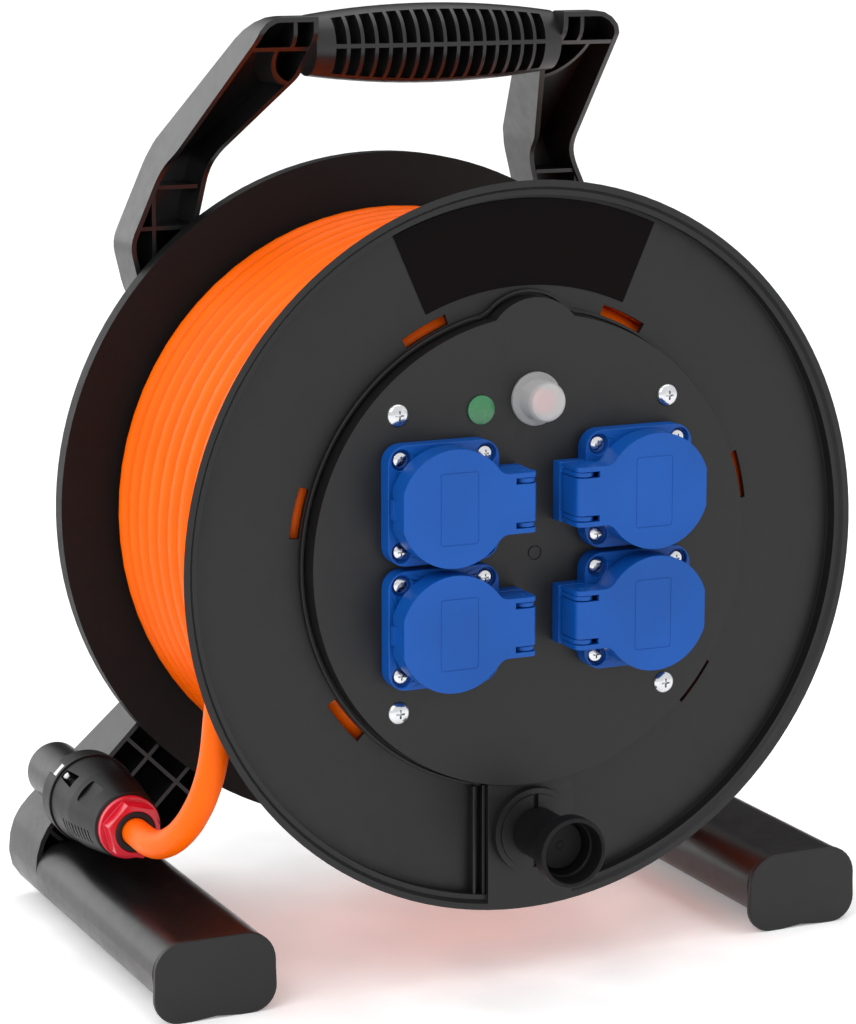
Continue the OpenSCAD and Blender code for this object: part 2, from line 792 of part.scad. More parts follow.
module socket_base(i) {
    place() color(blue) at_socket(i) difference() {
        union() {
            slab(base_y, panel_y) rounded_square(base_side, base_side, 8);
            rod(collar_r, collar_y, base_y + 1);
            rod(well_d / 2, panel_y - 0.5, panel_y + well_len);
            block([base_side / 2 - 2, bracket_y, -arm_w / 2], [hinge_at + knuckle_r + 0.7, panel_y, arm_w / 2]);
            for (s = [0, 1]) mirror([0, 0, s]) {
                block([hinge_at - knuckle_r, hinge_y, ear_in], [hinge_at + knuckle_r, panel_y, ear_out]);
                translate([hinge_at, hinge_y, ear_in]) cylinder(r = knuckle_r, h = ear_out - ear_in);
            }
        }
        rod(recess_d / 2, collar_y - 1, floor_y);
        for (z = [-1, 1]) translate([0, 0, z * pin_pitch / 2]) {
            rod(plug_pin_d / 2 + 0.4, floor_y - 1, floor_y + 4);
            rod(sleeve_r, floor_y + 3, panel_y + well_len + 1);
        }
        at_base_screws() {
            rod(base_head_d / 2 + 0.6, base_y - 1, head_seat);
            rod(socket_screw_r, base_y - 1, panel_y + 1);
        }
        translate([hinge_at, hinge_y, -arm_w]) cylinder(r = hinge_pin_r, h = 2 * arm_w);
        for (x = [-1, 1]) block([x * recess_d / 2 - 1, collar_y + 2, -clip_w / 2], [x * recess_d / 2 + 1, floor_y, clip_w / 2]);
    }
}

module socket_base_1() socket_base(1);
module socket_base_2() socket_base(2);
module socket_base_3() socket_base(3);
module socket_base_4() socket_base(4);

module socket_screws() {
    place() color(steel) for (i = [1:4]) at_socket(i) at_base_screws() {
        pan_head(base_head_d, 1.8, head_seat);
        rod(socket_screw_r, head_seat, panel_y + panel_wall + 4);
    }
}

module contact_sleeves() {
    place() color(brass) for (i = [1:4]) at_socket(i) for (z = [-1, 1]) translate([0, 0, z * pin_pitch / 2])
        ring(sleeve_r, plug_pin_d / 2 + 0.1, floor_y + 4, floor_y + 4 + sleeve_len);
}

module earth_clips() {
    place() color(steel) for (i = [1:4]) at_socket(i) for (x = [-1, 1])
        translate([x * (recess_d / 2 + 1 - clip_t / 2), 0, 0])
            block([-clip_t / 2, collar_y + 2, -clip_w / 2], [clip_t / 2, floor_y, clip_w / 2]);
}

module hinge_pins() {
    place() color(steel) for (i = [1:4]) at_socket(i)
        translate([hinge_at, hinge_y, -arm_w / 2 + 0.5]) cylinder(r = hinge_pin_r, h = arm_w - 1);
}

module lid_springs() {
    place() color(steel) for (i = [1:4]) at_socket(i)
        translate([hinge_at, hinge_y, -spring_half]) difference() {
            cylinder(r = spring_r, h = 2 * spring_half);
            translate([0, 0, -1]) cylinder(r = hinge_pin_r, h = 2 * spring_half + 2);
        }
}

// A lid from the front: disc with a flat edge, hinge arm, a fillet between them and a catch
module lid_outline() {
    turn = asin((arm_w / 2 + lid_fillet) / (lid_d / 2 + lid_fillet));
    reach = (lid_d / 2 + lid_fillet) * cos(turn);
    translate([lid_shift, 0]) {
        intersection() {
            circle(lid_d / 2, $fn = 96);
            translate([lid_flat - lid_shift, -lid_d]) square(2 * lid_d);
        }
        translate([0, -arm_w / 2]) square([reach, arm_w]);
        for (s = [0, 1]) mirror([0, s]) difference() {
            polygon([[reach, arm_w / 2], [lid_d / 2 * cos(turn), lid_d / 2 * sin(turn)],
                [lid_d / 2 - 9, arm_w / 2 + 1], [lid_d / 2 - 9, arm_w / 2 - 1], [reach, arm_w / 2 - 1]]);
            translate([reach, arm_w / 2 + lid_fillet]) circle(lid_fillet);
        }
    }
}

// The hinge arm from its side: flat in front, curled over the hinge pin
CURL = [
    [0, lid_front, 0], [hinge_at + knuckle_r, lid_front, lid_curl], [hinge_at + knuckle_r, lid_low, 0],
    [hinge_at - 6.4, lid_low, 0], [hinge_at - 8.5, lid_low - 2.1, 0], // the slope swings clear of the collar
    [hinge_at - 8.5, lid_back, 0], [0, lid_back, 0]
];

module across(z0, z1, outline) {
    translate([0, 0, z0]) linear_extrude(z1 - z0) polygon(rounded(outline, 8));
}

module socket_lid(i) {
    place() color(blue) at_socket(i) difference() {
        union() {
            slab(lid_front, lid_back) lid_outline();
            across(-arm_w / 2, arm_w / 2, CURL);
            block([lid_flat - 1, lid_back - 3, -4], [lid_flat + 1, lid_back, 4]);
        }
        translate([lid_shift, 0, 0]) rod(lid_d / 2 - lid_skin, lid_front + lid_skin, lid_back + 1);
        difference() {
            intersection() {
                across(-slot_out, slot_out, inset(CURL, lid_skin));
                block([lid_d / 2 + lid_shift, lid_front, -arm_w], [hinge_at + far, far, arm_w]);
            }
            for (s = [0, 1]) mirror([0, 0, s]) translate([hinge_at, hinge_y, spring_half + gap])
                cylinder(r = knuckle_r, h = slot_in - spring_half - gap);
        }
        block([lid_d / 2 + lid_shift + 1, lid_back - 4, -slot_out], [hinge_at + knuckle_r - lid_skin, lid_low + 1, slot_out]);
        for (s = [0, 1]) mirror([0, 0, s])
            block([hinge_at - knuckle_r - 1.3, lid_front - 1, slot_in], [hinge_at + far, far, slot_out]);
        translate([hinge_at, hinge_y, -arm_w]) cylinder(r = hinge_pin_r + fit, h = 2 * arm_w);
    }
}

module socket_lid_1() socket_lid(1);
module socket_lid_2() socket_lid(2);
module socket_lid_3() socket_lid(3);
module socket_lid_4() socket_lid(4);

module lid_gasket(i) {
    place() color(grey) at_socket(i) translate([lid_shift, 0, 0])
        ring(lid_d / 2 - lid_skin, lid_d / 2 - lid_skin - gasket_w, lid_back - 2.5, lid_back);
}

module lid_gasket_1() lid_gasket(1);
module lid_gasket_2() lid_gasket(2);
module lid_gasket_3() lid_gasket(3);
module lid_gasket_4() lid_gasket(4);

// ---- Lamp and cut-out ----

lens_neck_r = lens_d / 2 - 1.5;
neck_r = button_d / 2 + 1.5;
button_travel = 2.5;

module indicator_lens() {
    place() color("#459267") translate(lens_at) {
        intersection() {
            rod(lens_d / 2, panel_y - 1.8, panel_y);
            translate([0, panel_y + 1.5 * lens_d, 0]) sphere(r = 1.5 * lens_d + 1.8);
        }
        rod(lens_neck_r, panel_y, panel_y + panel_wall + 4);
    }
}

module indicator_body() {
    place() color(grey) translate(lens_at) difference() {
        rod(lens_neck_r + 2.5, panel_y + panel_wall, panel_y + panel_wall + 22);
        rod(lens_neck_r, panel_y, panel_y + panel_wall + 4);
    }
}

module cutout_body() {
    place() color(black) translate([0, 0, cutout_z]) difference() {
        union() {
            rod(neck_r, panel_y - 6, panel_y + panel_wall + 4);
            block([-8, panel_y + panel_wall + 3, -14], [8, panel_y + panel_wall + 33, 12]);
        }
        rod(button_d / 2 + fit, panel_y - 7, panel_y + button_travel + 0.6);
    }
}

module cutout_nut() {
    place() color(steel) translate([0, 0, cutout_z]) difference() {
        translate([0, panel_y + panel_wall, 0]) rotate([-90, 0, 0]) cylinder(r = neck_r + 4, h = 3, $fn = 6);
        rod(neck_r, panel_y, panel_y + panel_wall + 4);
    }
}

module reset_cap() {
    r = cap_d / 2;
    wall = 0.9;
    place() color([0.85, 0.85, 0.87, 0.5]) translate([0, 0, cutout_z]) turned() polygon([
        [neck_r + 0.1, panel_y], [cap_foot_d / 2, panel_y], [cap_foot_d / 2, panel_y - 1.6], [r, panel_y - 2.6],
        [r, panel_y - cap_len + 3], [r - 0.9, panel_y - cap_len + 0.9], [r - 3, panel_y - cap_len], [0, panel_y - cap_len],
        [0, panel_y - cap_len + wall], [r - 3, panel_y - cap_len + wall], [r - wall - 0.6, panel_y - cap_len + 1.6],
        [r - wall, panel_y - cap_len + 3], [r - wall, panel_y - 1.5], [neck_r + 0.1, panel_y - 1.5]
    ]);
}

module reset_button() {
    place() color("#d0182a") translate([0, 0, cutout_z]) rod(button_d / 2, panel_y - 9.5, panel_y - 0.3);
}

// ---- Inside the barrel ----

lead_y = back_in - cord_r - 2.4;
lead_end = -52;
clamp_x = 12.5;
clamp_low = -83;
clamp_high = -74;
clamp_screw_r = 1.6;

module inner_lead() {
    place() color(orange) intersection() {
        translate([0, lead_y, -barrel_r - 1]) cylinder(r = cord_r, h = barrel_r + 1 + lead_end);
        rod(barrel_r, lead_y - 10, lead_y + 10);
    }
}

module cord_clamp() {
    place() color(grey) difference() {
        block([-clamp_x - 4.5, lead_y - cord_r - 2.5, clamp_low], [clamp_x + 4.5, lead_y, clamp_high]);
        translate([0, lead_y, clamp_low - 1]) cylinder(r = cord_r, h = clamp_high - clamp_low + 2);
        for (x = [-1, 1]) translate([x * clamp_x, 0, (clamp_low + clamp_high) / 2])
            rod(clamp_screw_r, lead_y - far / 2, lead_y + 1);
    }
}

module clamp_screws() {
    place() color(steel) for (x = [-1, 1]) translate([x * clamp_x, 0, (clamp_low + clamp_high) / 2]) {
        pan_head(6, 1.8, lead_y - cord_r - 2.5);
        rod(clamp_screw_r, lead_y - cord_r - 2.5, back_in - 1);
    }
}

module terminal_block() {
    place() color("#d8d8d0") difference() {
        block([-13, lead_y - 9, lead_end], [13, back_in, lead_end + 16]);
        for (x = [-8.5, 0, 8.5]) translate([x, 0, lead_end + 8]) rod(2, lead_y - 10, lead_y + 2);
    }
}

// ---- Knob ----

pin_r = knob_pin_d / 2;
ring_y = -4;
disc_y = ring_y - 1;
knob_back = disc_y - gap;
cup_floor = -knob_reach + 9;

module knob_ring() {
    place() color(black) translate([0, 0, -knob_r]) difference() {
        union() {
            rod(knob_ring_d / 2, ring_y, 0);
            rod(knob_ring_d / 2 - 2.5, disc_y, ring_y);
        }
        rod(pin_r, disc_y - 1, 1);
        for (z = [-1, 1]) translate([0, 0, z * (knob_ring_d / 2 - 2.5)]) block([-1.1, disc_y - 1, -3], [1.1, ring_y + 1, 3]);
    }
}

module knob_pin() {
    place() color(steel) translate([0, 0, -knob_r]) rod(pin_r, cup_floor - gap - 1, front_in);
}

module knob_washer() {
    face = cup_floor - gap - 2;
    place() color(black) translate([0, 0, -knob_r]) difference() {
        union() {
            rod(pin_r + 6, face, cup_floor - gap);
            ring(2, 1.3, face - 0.3, face + 1);
        }
        rod(pin_r, cup_floor - gap - 1, cup_floor);
    }
}

module knob() {
    neck = neck_d / 2;
    cup = knob_d / 2;
    place() color(black) translate([0, 0, -knob_r]) turned() polygon(rounded([
        [pin_r + fit, cup_floor, 0], [cup - 2.5, cup_floor, 2], [cup - 2, -knob_reach, 0.8], [cup, -knob_reach, 0.8],
        [cup, cup_floor - 2, 4], [neck, cup_floor + 9, 6], [neck, knob_back, 1], [pin_r + fit, knob_back, 0]
    ]));
}

// ---- Cord and plug ----

module cord_winding() {
    under_r = layer_2 + cord_r - 0.9;
    place() color(orange) turned() polygon([
        [barrel_r, wind_start], [under_r, wind_start], [under_r, wind_start + cord_pitch + gap],
        [layer_3 + cord_r, wind_start + cord_pitch + gap], [layer_3 + cord_r, wind_end], [barrel_r, wind_end]
    ]);
}

// Rings of a tube along a route, each turned into the plane between its two steps
function along(p, i) = unit(p[min(i + 1, len(p) - 1)] - p[max(i - 1, 0)]);
function ring_at(p, i, r, sides) =
    let (t = along(p, i), a = unit(cross(t, abs(t[1]) > 0.9 ? [0, 0, 1] : [0, 1, 0])), b = cross(t, a))
    [for (k = [0:sides - 1]) p[i] + r * (cos(360 * k / sides) * a + sin(360 * k / sides) * b)];

module tube(p, r, sides) {
    rings = len(p);
    polyhedron(
        points = [for (i = [0:rings - 1]) each ring_at(p, i, r, sides)],
        faces = concat(
            [[for (k = [0:sides - 1]) k]],
            [for (i = [0:rings - 2], k = [0:sides - 1]) let (n = (k + 1) % sides)
                [i * sides + k, (i + 1) * sides + k, (i + 1) * sides + n, i * sides + n]],
            [[for (k = [sides - 1:-1:0]) (rings - 1) * sides + k]]
        )
    );
}

module cord_tail() {
    last_turn = [for (i = [0:TAIL_TURN_STEPS])
        let (a = TAIL_TURN_FROM + (TAIL_TURN_TO - TAIL_TURN_FROM) * i / TAIL_TURN_STEPS)
        [layer_3 * cos(a), last_turn_y, layer_3 * sin(a)]];
    place() color(orange) tube(concat(last_turn, TAIL, [[plug_x, gland_y + seal_len - 2, plug_z]]), cord_r, 10);
}

module at_plug() {
    place() translate([plug_x, 0, plug_z]) rotate([0, -45, 0]) children();
}

module gland_nut() {
    at_plug() color("#d0182a") difference() {
        union() {
            translate([0, gland_y, 0]) rotate([-90, 0, 0]) cylinder(r = nut_r - 1.1, h = nut_len - 2, $fn = 6);
            rod(nut_r, gland_y + nut_len - 3, gland_y + nut_len);
        }
        rod(gland_r, gland_y - 1, gland_y + nut_len + 1);
    }
}

module gland_seal() {
    at_plug() color(black) ring(gland_r, cord_r, gland_y, gland_y + seal_len);
}

module plug_body() {
    back = plug_rim_y + plug_rim_t;
    at_plug() color(black) difference() {
        turned() polygon(rounded([
            [0, back, 0], [0, gland_y + nut_len, 0], [nut_r + 0.9, gland_y + nut_len, 1.5],
            [plug_face_d / 2 - 1.6, gland_y + nut_len + 26, 30], [plug_face_d / 2 - 0.3, plug_rim_y, 0],
            [plug_rim_d / 2, plug_rim_y, 0.4], [plug_rim_d / 2, back, 0.4]
        ]));
        rod(gland_r, gland_y, gland_y + seal_len);
        for (s = [-1, 1], k = [0:7]) translate([s * (plug_face_d / 2 - 1.2 + 0.11 * k), gland_y + nut_len + 8 + 3.6 * k, 0])
            rotate([0, 0, s * 25]) block([-1.4, -0.8, -6], [1.4, 0.8, 6]);
        translate([0, 0, rim_screw_z]) {
            rod(boss_screw_r, plug_rim_y - 3, back - 1);
            rod(rim_screw_d / 2 + 0.9, plug_rim_y - 14, plug_rim_y - 1.5);
        }
    }
}

module at_earth_strips() {
    for (s = [0, 1]) mirror([0, 0, s]) translate([0, 0, plug_face_d / 2]) children();
}

module plug_insert() {
    at_plug() color(black) difference() {
        rod(plug_face_d / 2, plug_rim_y + plug_rim_t, plug_face);
        at_earth_strips() block([-earth_w / 2, plug_rim_y + plug_rim_t - 1, -earth_deep], [earth_w / 2, plug_face + 1, 1]);
        for (x = [-1, 1]) translate([x * pin_pitch / 2, 0, 0]) rod(plug_pin_d / 2, plug_face - insert_len + 1, plug_face + 1);
    }
}

module plug_earth_strips() {
    at_plug() color(steel) at_earth_strips()
        block([-earth_w / 2, plug_rim_y + plug_rim_t, -earth_deep], [earth_w / 2, plug_face, -earth_deep + 1]);
}

module plug_pins() {
    at_plug() color(steel) for (x = [-1, 1]) translate([x * pin_pitch / 2, 0, 0]) {
        rod(plug_pin_d / 2, plug_face - insert_len + 1, plug_face + plug_pin_len - 1);
        rod(plug_pin_d / 2 - 0.6, plug_face + plug_pin_len - 1, plug_face + plug_pin_len);
    }
}

module plug_screw() {
    at_plug() color(steel) translate([0, 0, rim_screw_z]) {
        pan_head(rim_screw_d, 1.6, plug_rim_y - 1.5);
        rod(boss_screw_r, plug_rim_y - 1.5, plug_rim_y + plug_rim_t - 1);
    }
}

frame();
handle_grip();
foot_bar_left();
foot_bar_right();
foot_cap_left();
foot_cap_right();
foot_screws();
axle();
axle_washer();
axle_bolt();
plug_body();
plug_insert();
plug_pins();
plug_earth_strips();
plug_screw();
gland_nut();
gland_seal();
cord_tail();
front_flange();
barrel();
back_flange();
drum_screws();
hub_bushes();
label_plate();
centre_panel();
panel_gasket();
panel_screws();
socket_base_1();
socket_base_2();
socket_base_3();
socket_base_4();
socket_screws();
contact_sleeves();
earth_clips();
hinge_pins();
lid_springs();
socket_lid_1();
socket_lid_2();
socket_lid_3();
socket_lid_4();
lid_gasket_1();
lid_gasket_2();
lid_gasket_3();
lid_gasket_4();
indicator_lens();
indicator_body();
cutout_body();
cutout_nut();
reset_cap();
reset_button();
terminal_block();
cord_clamp();
clamp_screws();
inner_lead();
knob_ring();
knob_pin();
knob_washer();
knob();
cord_winding();
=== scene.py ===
"""A portable extension cord reel: its finishes, its cord and its small fittings.

Places are given in drum millimetres: X to the right, Y to the back and Z up, from the middle of the drum's
front rim. spot() and settle() turn them into the frame's metres.
"""

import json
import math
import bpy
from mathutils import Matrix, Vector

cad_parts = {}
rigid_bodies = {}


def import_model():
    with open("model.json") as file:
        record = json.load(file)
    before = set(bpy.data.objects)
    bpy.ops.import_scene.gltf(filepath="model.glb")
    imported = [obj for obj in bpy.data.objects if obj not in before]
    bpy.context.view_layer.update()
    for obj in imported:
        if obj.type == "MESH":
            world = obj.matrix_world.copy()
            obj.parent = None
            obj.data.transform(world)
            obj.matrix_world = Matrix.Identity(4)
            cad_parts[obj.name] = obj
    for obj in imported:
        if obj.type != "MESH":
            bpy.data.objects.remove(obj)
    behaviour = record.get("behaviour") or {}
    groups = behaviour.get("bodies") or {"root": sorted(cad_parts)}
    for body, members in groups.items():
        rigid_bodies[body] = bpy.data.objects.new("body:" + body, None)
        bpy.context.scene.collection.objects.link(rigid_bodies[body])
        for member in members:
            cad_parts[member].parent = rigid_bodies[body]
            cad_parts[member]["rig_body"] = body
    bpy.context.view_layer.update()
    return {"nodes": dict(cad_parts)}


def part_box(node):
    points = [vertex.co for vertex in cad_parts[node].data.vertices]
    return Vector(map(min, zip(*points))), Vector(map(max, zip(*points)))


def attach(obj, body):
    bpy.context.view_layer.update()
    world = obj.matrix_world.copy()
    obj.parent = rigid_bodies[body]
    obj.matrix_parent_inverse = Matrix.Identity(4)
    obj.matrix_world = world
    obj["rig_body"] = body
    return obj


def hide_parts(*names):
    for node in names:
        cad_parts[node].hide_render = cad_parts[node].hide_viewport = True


bl_info = {
    "name": "Extension Cord Reel",
    "version": (1, 0, 0),
    "blender": (4, 5, 0),
    "location": "View3D > Sidebar > Cord Reel",
    "description": "Finishes, cord and fittings of a portable extension cord reel",
    "category": "Add Mesh",
}

import bmesh
import bpy
from bpy.props import FloatProperty, FloatVectorProperty, IntProperty, PointerProperty
from bpy.types import Operator, Panel, PropertyGroup
from mathutils import Matrix, Vector

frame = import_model()

MM = 0.001
RIM_LOW, RIM_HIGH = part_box("front_flange")
AXLE = Vector((0.0, RIM_LOW.y, (RIM_LOW.z + RIM_HIGH.z) / 2))


def spot(x, y, z):
    """A place in drum millimetres, as a point of the frame."""
    return AXLE + MM * Vector((x, y, z))


def drum_box(node):
    """A node's lowest and highest corners in drum millimetres."""
    low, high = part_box(node)
    return (low - AXLE) / MM, (high - AXLE) / MM


def linear(colour):
    """An sRGB hex colour as linear red, green, blue and alpha."""
    channels = [int(colour[i : i + 2], 16) / 255 for i in (1, 3, 5)]
    return tuple(c / 12.92 if c <= 0.04045 else ((c + 0.055) / 1.055) ** 2.4 for c in channels) + (1.0,)


# ---- Sizes that come from the frame ----

WINDING_LOW, WINDING_HIGH = drum_box("cord_winding")
SEAL_LOW, SEAL_HIGH = drum_box("gland_seal")
PLUG_X = (SEAL_LOW.x + SEAL_HIGH.x) / 2
PLUG_Z = (SEAL_LOW.z + SEAL_HIGH.z) / 2
GLAND_Y = SEAL_LOW.y
LENS_LOW, LENS_HIGH = drum_box("indicator_lens")
CAP_LOW, CAP_HIGH = drum_box("reset_cap")
PANEL_Y = CAP_HIGH.y
PANEL_HIGH = drum_box("centre_panel")[1]
PANEL_R = PANEL_HIGH.x
# The bulge on top of the panel is centred this far above the cut-out's cap
BULGE_Z = CAP_LOW.z / 2 + CAP_HIGH.z / 2 + 19
BULGE_R = PANEL_HIGH.z - BULGE_Z
FLANGE_T = 2.6
WEB_Y = drum_box("front_flange")[1].y - FLANGE_T
RIM_WIDTH = 6.0
RIM_INNER = drum_box("front_flange")[1].x - RIM_WIDTH
# Half the width of the pad under the knob
PAD_HALF = 20.0

# The free end of the cord, listed from the last turn to the plug, in drum millimetres
TAIL = (
    (-126.3, 19.7, 0), (-128.7, 19.7, -20), (-131.2, 19.6, -40), (-133.6, 19.5, -60), (-136.2, 19.5, -80),
    (-138.8, 21, -91.5), (-141.6, 25.5, -102), (-144.2, 32.5, -111), (-146.6, 41.5, -118),
    (-148.6, 52, -122.5), (-149.5, 63.5, -124), (-149.5, 72, -124),
)


def colour_property(name, description, colour):
    return FloatVectorProperty(
        name=name, description=description, default=linear(colour), size=4, min=0, max=1, subtype="COLOR"
    )


def length_property(name, description, millimetres):
    return FloatProperty(name=name, description=description, default=millimetres * MM, min=0, unit="LENGTH")


class ReelSizes(PropertyGroup):
    """Sizes of the cord and of the small fittings."""

    cord_diameter: length_property("Cord Diameter", "Outer diameter of the cord's sheath", 12.2)
    cord_pitch: length_property("Cord Pitch", "Distance between turns side by side", 12.3)
    turns: IntProperty(name="Turns", description="Turns side by side in a full layer", default=11, min=2)
    layers: IntProperty(name="Layers", description="Layers of cord on the barrel", default=3, min=1)
    rounding: length_property("Rounding", "Radius on the edges of the moulded pieces", 0.5)
    grain: length_property("Grain", "Width of the moulded grain, coarser than real so that it shows", 0.55)


class ReelColours(PropertyGroup):
    """Colours of the reel's plastics, rubbers and metals."""

    black: colour_property("Black Plastic", "Drum, frame and feet", "#121213")
    label: colour_property("Label", "Bare label on the front flange", "#090405")
    blue: colour_property("Socket Blue", "Socket bases and lids", "#084b9c")
    orange: colour_property("Cord Orange", "Sheath of the cord", "#fa6400")
    red: colour_property("Gland Red", "Gland nut and reset button", "#c8102a")
    green: colour_property("Lamp Green", "Lens of the lamp", "#257f4a")
    grey: colour_property("Inner Grey", "Bushes, clamp and lamp body", "#9a9a96")
    steel: colour_property("Zinc Steel", "Screws, axle and pins", "#d6d7da")
    brass: colour_property("Nickelled Brass", "Plug pins and contact sleeves", "#cfc6b0")


def sizes():
    return bpy.context.scene.reel_sizes


def colours():
    return bpy.context.scene.reel_colours


# ---- Materials ----


def add(tree, kind, inputs=(), **settings):
    """Adds a node with its settings. An input takes a value, or the output that feeds it."""
    node = tree.nodes.new(kind)
    for name, value in settings.items():
        setattr(node, name, value)
    for name, value in dict(inputs).items():
        if isinstance(value, bpy.types.NodeSocket):
            tree.links.new(value, node.inputs[name])
        else:
            node.inputs[name].default_value = value
    return node


def shaded(name, values):
    """A material with one Principled shader, and the coordinates that its patterns read."""
    material = bpy.data.materials.new(name)
    material.use_nodes = True
    tree = material.node_tree
    tree.nodes.clear()
    shader = add(tree, "ShaderNodeBsdfPrincipled", values)
    add(tree, "ShaderNodeOutputMaterial", {"Surface": shader.outputs["BSDF"]})
    place = add(tree, "ShaderNodeTexCoord").outputs["Object"]
    return material, tree, shader, place


def noise(tree, place, width, detail=2.0):
    """Noise whose patches are about this wide, in metres."""
    return add(tree, "ShaderNodeTexNoise", {"Vector": place, "Scale": 1 / width, "Detail": detail}).outputs["Fac"]


def spread(tree, value, low, high):
    """Noise turned into a range from low to high."""
    settings = {"Value": value, "From Min": 0.3, "From Max": 0.7, "To Min": low, "To Max": high}
    return add(tree, "ShaderNodeMapRange", settings).outputs["Result"]


def varied(tree, value, colour, low, high):
    """A colour that runs from low to high times its brightness."""
    return add(
        tree, "ShaderNodeMix", {"Factor": spread(tree, value, 0, 1), 6: scaled(colour, low), 7: scaled(colour, high)},
        data_type="RGBA",
    ).outputs[2]


def scaled(colour, share):
    return tuple(min(1.0, c * share) for c in colour[:3]) + (1.0,)


def raised(tree, shader, height, depth):
    """Bump of this depth, in metres, from a height between 0 and 1."""
    bump = add(tree, "ShaderNodeBump", {"Height": height, "Distance": depth, "Strength": 1.0})
    tree.links.new(bump.outputs["Normal"], shader.inputs["Normal"])


def moulded(name, colour, roughness, grain, depth, values=()):
    """A moulded plastic: a fine eroded grain, broad cloudy patches in its gloss and a slightly uneven colour."""
    material, tree, shader, place = shaded(name, {"IOR": 1.5, **dict(values)})
    clouds = noise(tree, place, 0.05, 3.0)
    tree.links.new(varied(tree, clouds, colour, 0.9, 1.12), shader.inputs["Base Color"])
    rubbed = add(tree, "ShaderNodeMath", {0: clouds, 1: noise(tree, place, 0.006)}, operation="MULTIPLY_ADD")
    rubbed.inputs[2].default_value = 0.2
    tree.links.new(spread(tree, rubbed.outputs[0], roughness - 0.05, roughness + 0.07), shader.inputs["Roughness"])
    raised(tree, shader, noise(tree, place, grain, 1.0), depth)
    return material


def polypropylene_drum():
    """Moulded polypropylene with an eroded texture: dull and even, with broad soft reflections."""
    return moulded("polypropylene_moulded", colours().black, 0.46, sizes().grain, 0.000012, {"Specular IOR Level": 0.4})


def polypropylene_painted_shade():
    """The back flange's and the knob's polypropylene with painted shade: the drum's black darkened to half, with a dull
    grain.
    """
    values = {"Specular IOR Level": 0.22}
    return moulded("polypropylene_painted_shade", scaled(colours().black, 0.5), 0.55, sizes().grain, 0.000012, values)


def polypropylene_frame():
    """The frame's polypropylene comes from a polished mould, so its broad faces shine a little more."""
    return moulded("polypropylene_polished", colours().black, 0.34, sizes().grain, 0.000004)


def polyamide_blue():
    """Moulded polyamide in signal blue: satin, with a tight grain and bright rounded edges."""
    return moulded("polyamide_blue", colours().blue, 0.38, sizes().grain, 0.000008, {"Specular IOR Level": 0.25})


def polyamide_red():
    """Moulded polyamide in red: nearly glossy on the gland's hexagon."""
    return moulded("polyamide_red", colours().red, 0.24, sizes().grain, 0.000005, {"IOR": 1.53})


def polyamide_grey():
    """Plain grey polyamide of the bushes and of the inner fittings."""
    return moulded("polyamide_grey", colours().grey, 0.45, sizes().grain, 0.00001)


def elastomer_plug():
    """The plug's overmoulded elastomer: soft sheen, finer grain than the drum."""
    values = {"Specular IOR Level": 0.24}
    return moulded("elastomer_moulded", scaled(colours().black, 0.5), 0.42, sizes().grain, 0.000008, values)


def rubber_seal():
    """Black EPDM rubber of seals and gaskets: dull all over."""
    return moulded("rubber_epdm", scaled(colours().black, 0.8), 0.7, sizes().grain, 0.00002)


def vinyl_label():
    """A printed vinyl film without any print: very dark, flat and slightly glossier than the flange."""
    return moulded("vinyl_film", colours().label, 0.3, 4 * sizes().grain, 0.000002, {"Specular IOR Level": 0.06})


def pvc_sheath():
    """The cord's PVC sheath: smooth and saturated, with faint long waves from the extruder and a soft sheen."""
    material, tree, shader, place = shaded("pvc_sheath", {"IOR": 1.5, "Specular IOR Level": 0.14})
    clouds = noise(tree, place, 0.03, 3.0)
    tree.links.new(varied(tree, clouds, colours().orange, 0.93, 1.05), shader.inputs["Base Color"])
    tree.links.new(spread(tree, noise(tree, place, 0.009), 0.36, 0.5), shader.inputs["Roughness"])
    raised(tree, shader, noise(tree, place, 0.0022, 1.0), 0.00003)
    return material


def polycarbonate_lens():
    """The lamp's green polycarbonate lens: glossy in front, cloudy inside."""
    values = {"IOR": 1.58, "Transmission Weight": 0.25, "Coat Weight": 0.3, "Coat Roughness": 0.1}
    return moulded("polycarbonate_green", colours().green, 0.28, sizes().grain, 0.000003, values)


def silicone_cap():
    """The cut-out's clear silicone cap: milky, so that the button under it shows as a pink patch."""
    values = {"IOR": 1.42, "Transmission Weight": 0.74}
    return moulded("silicone_clear", linear("#ffffff"), 0.34, 2 * sizes().grain, 0.00001, values)


def plated(name, colour, roughness, scratch):
    """A plated metal: mirror-like, with fine scratches and cloudy patches where it was handled."""
    material, tree, shader, place = shaded(name, {"Metallic": 1.0})
    clouds = noise(tree, place, 0.004, 3.0)
    tree.links.new(varied(tree, clouds, colour, 0.92, 1.05), shader.inputs["Base Color"])
    tree.links.new(spread(tree, clouds, roughness, roughness + 0.12), shader.inputs["Roughness"])
    stretched = add(tree, "ShaderNodeMapping", {"Vector": place, "Scale": (1.0, 1.0, 14.0)}).outputs["Vector"]
    raised(tree, shader, noise(tree, stretched, scratch), 0.000004)
    return material


def zinc_screw():
    """Bright zinc-plated steel of the screws."""
    return plated("steel_zinc_plated", colours().steel, 0.12, 0.0012)


def turned_steel():
    """Turned steel of the axle, the pins and the springs."""
    return plated("steel_turned", scaled(colours().steel, 0.8), 0.24, 0.002)


def nickelled_brass():
    """Nickel-plated brass of the contacts: a warm bright grey."""
    return plated("brass_nickel_plated", colours().brass, 0.2, 0.0015)


def painted_floor():
    """A pale painted studio floor: flat white with a barely uneven roller finish."""
    values = {"IOR": 1.2, "Emission Color": (1, 1, 1, 1), "Emission Strength": 0.22}
    return moulded("floor_white_paint", linear("#f4f4f4"), 0.9, 0.02, 0.0, values)


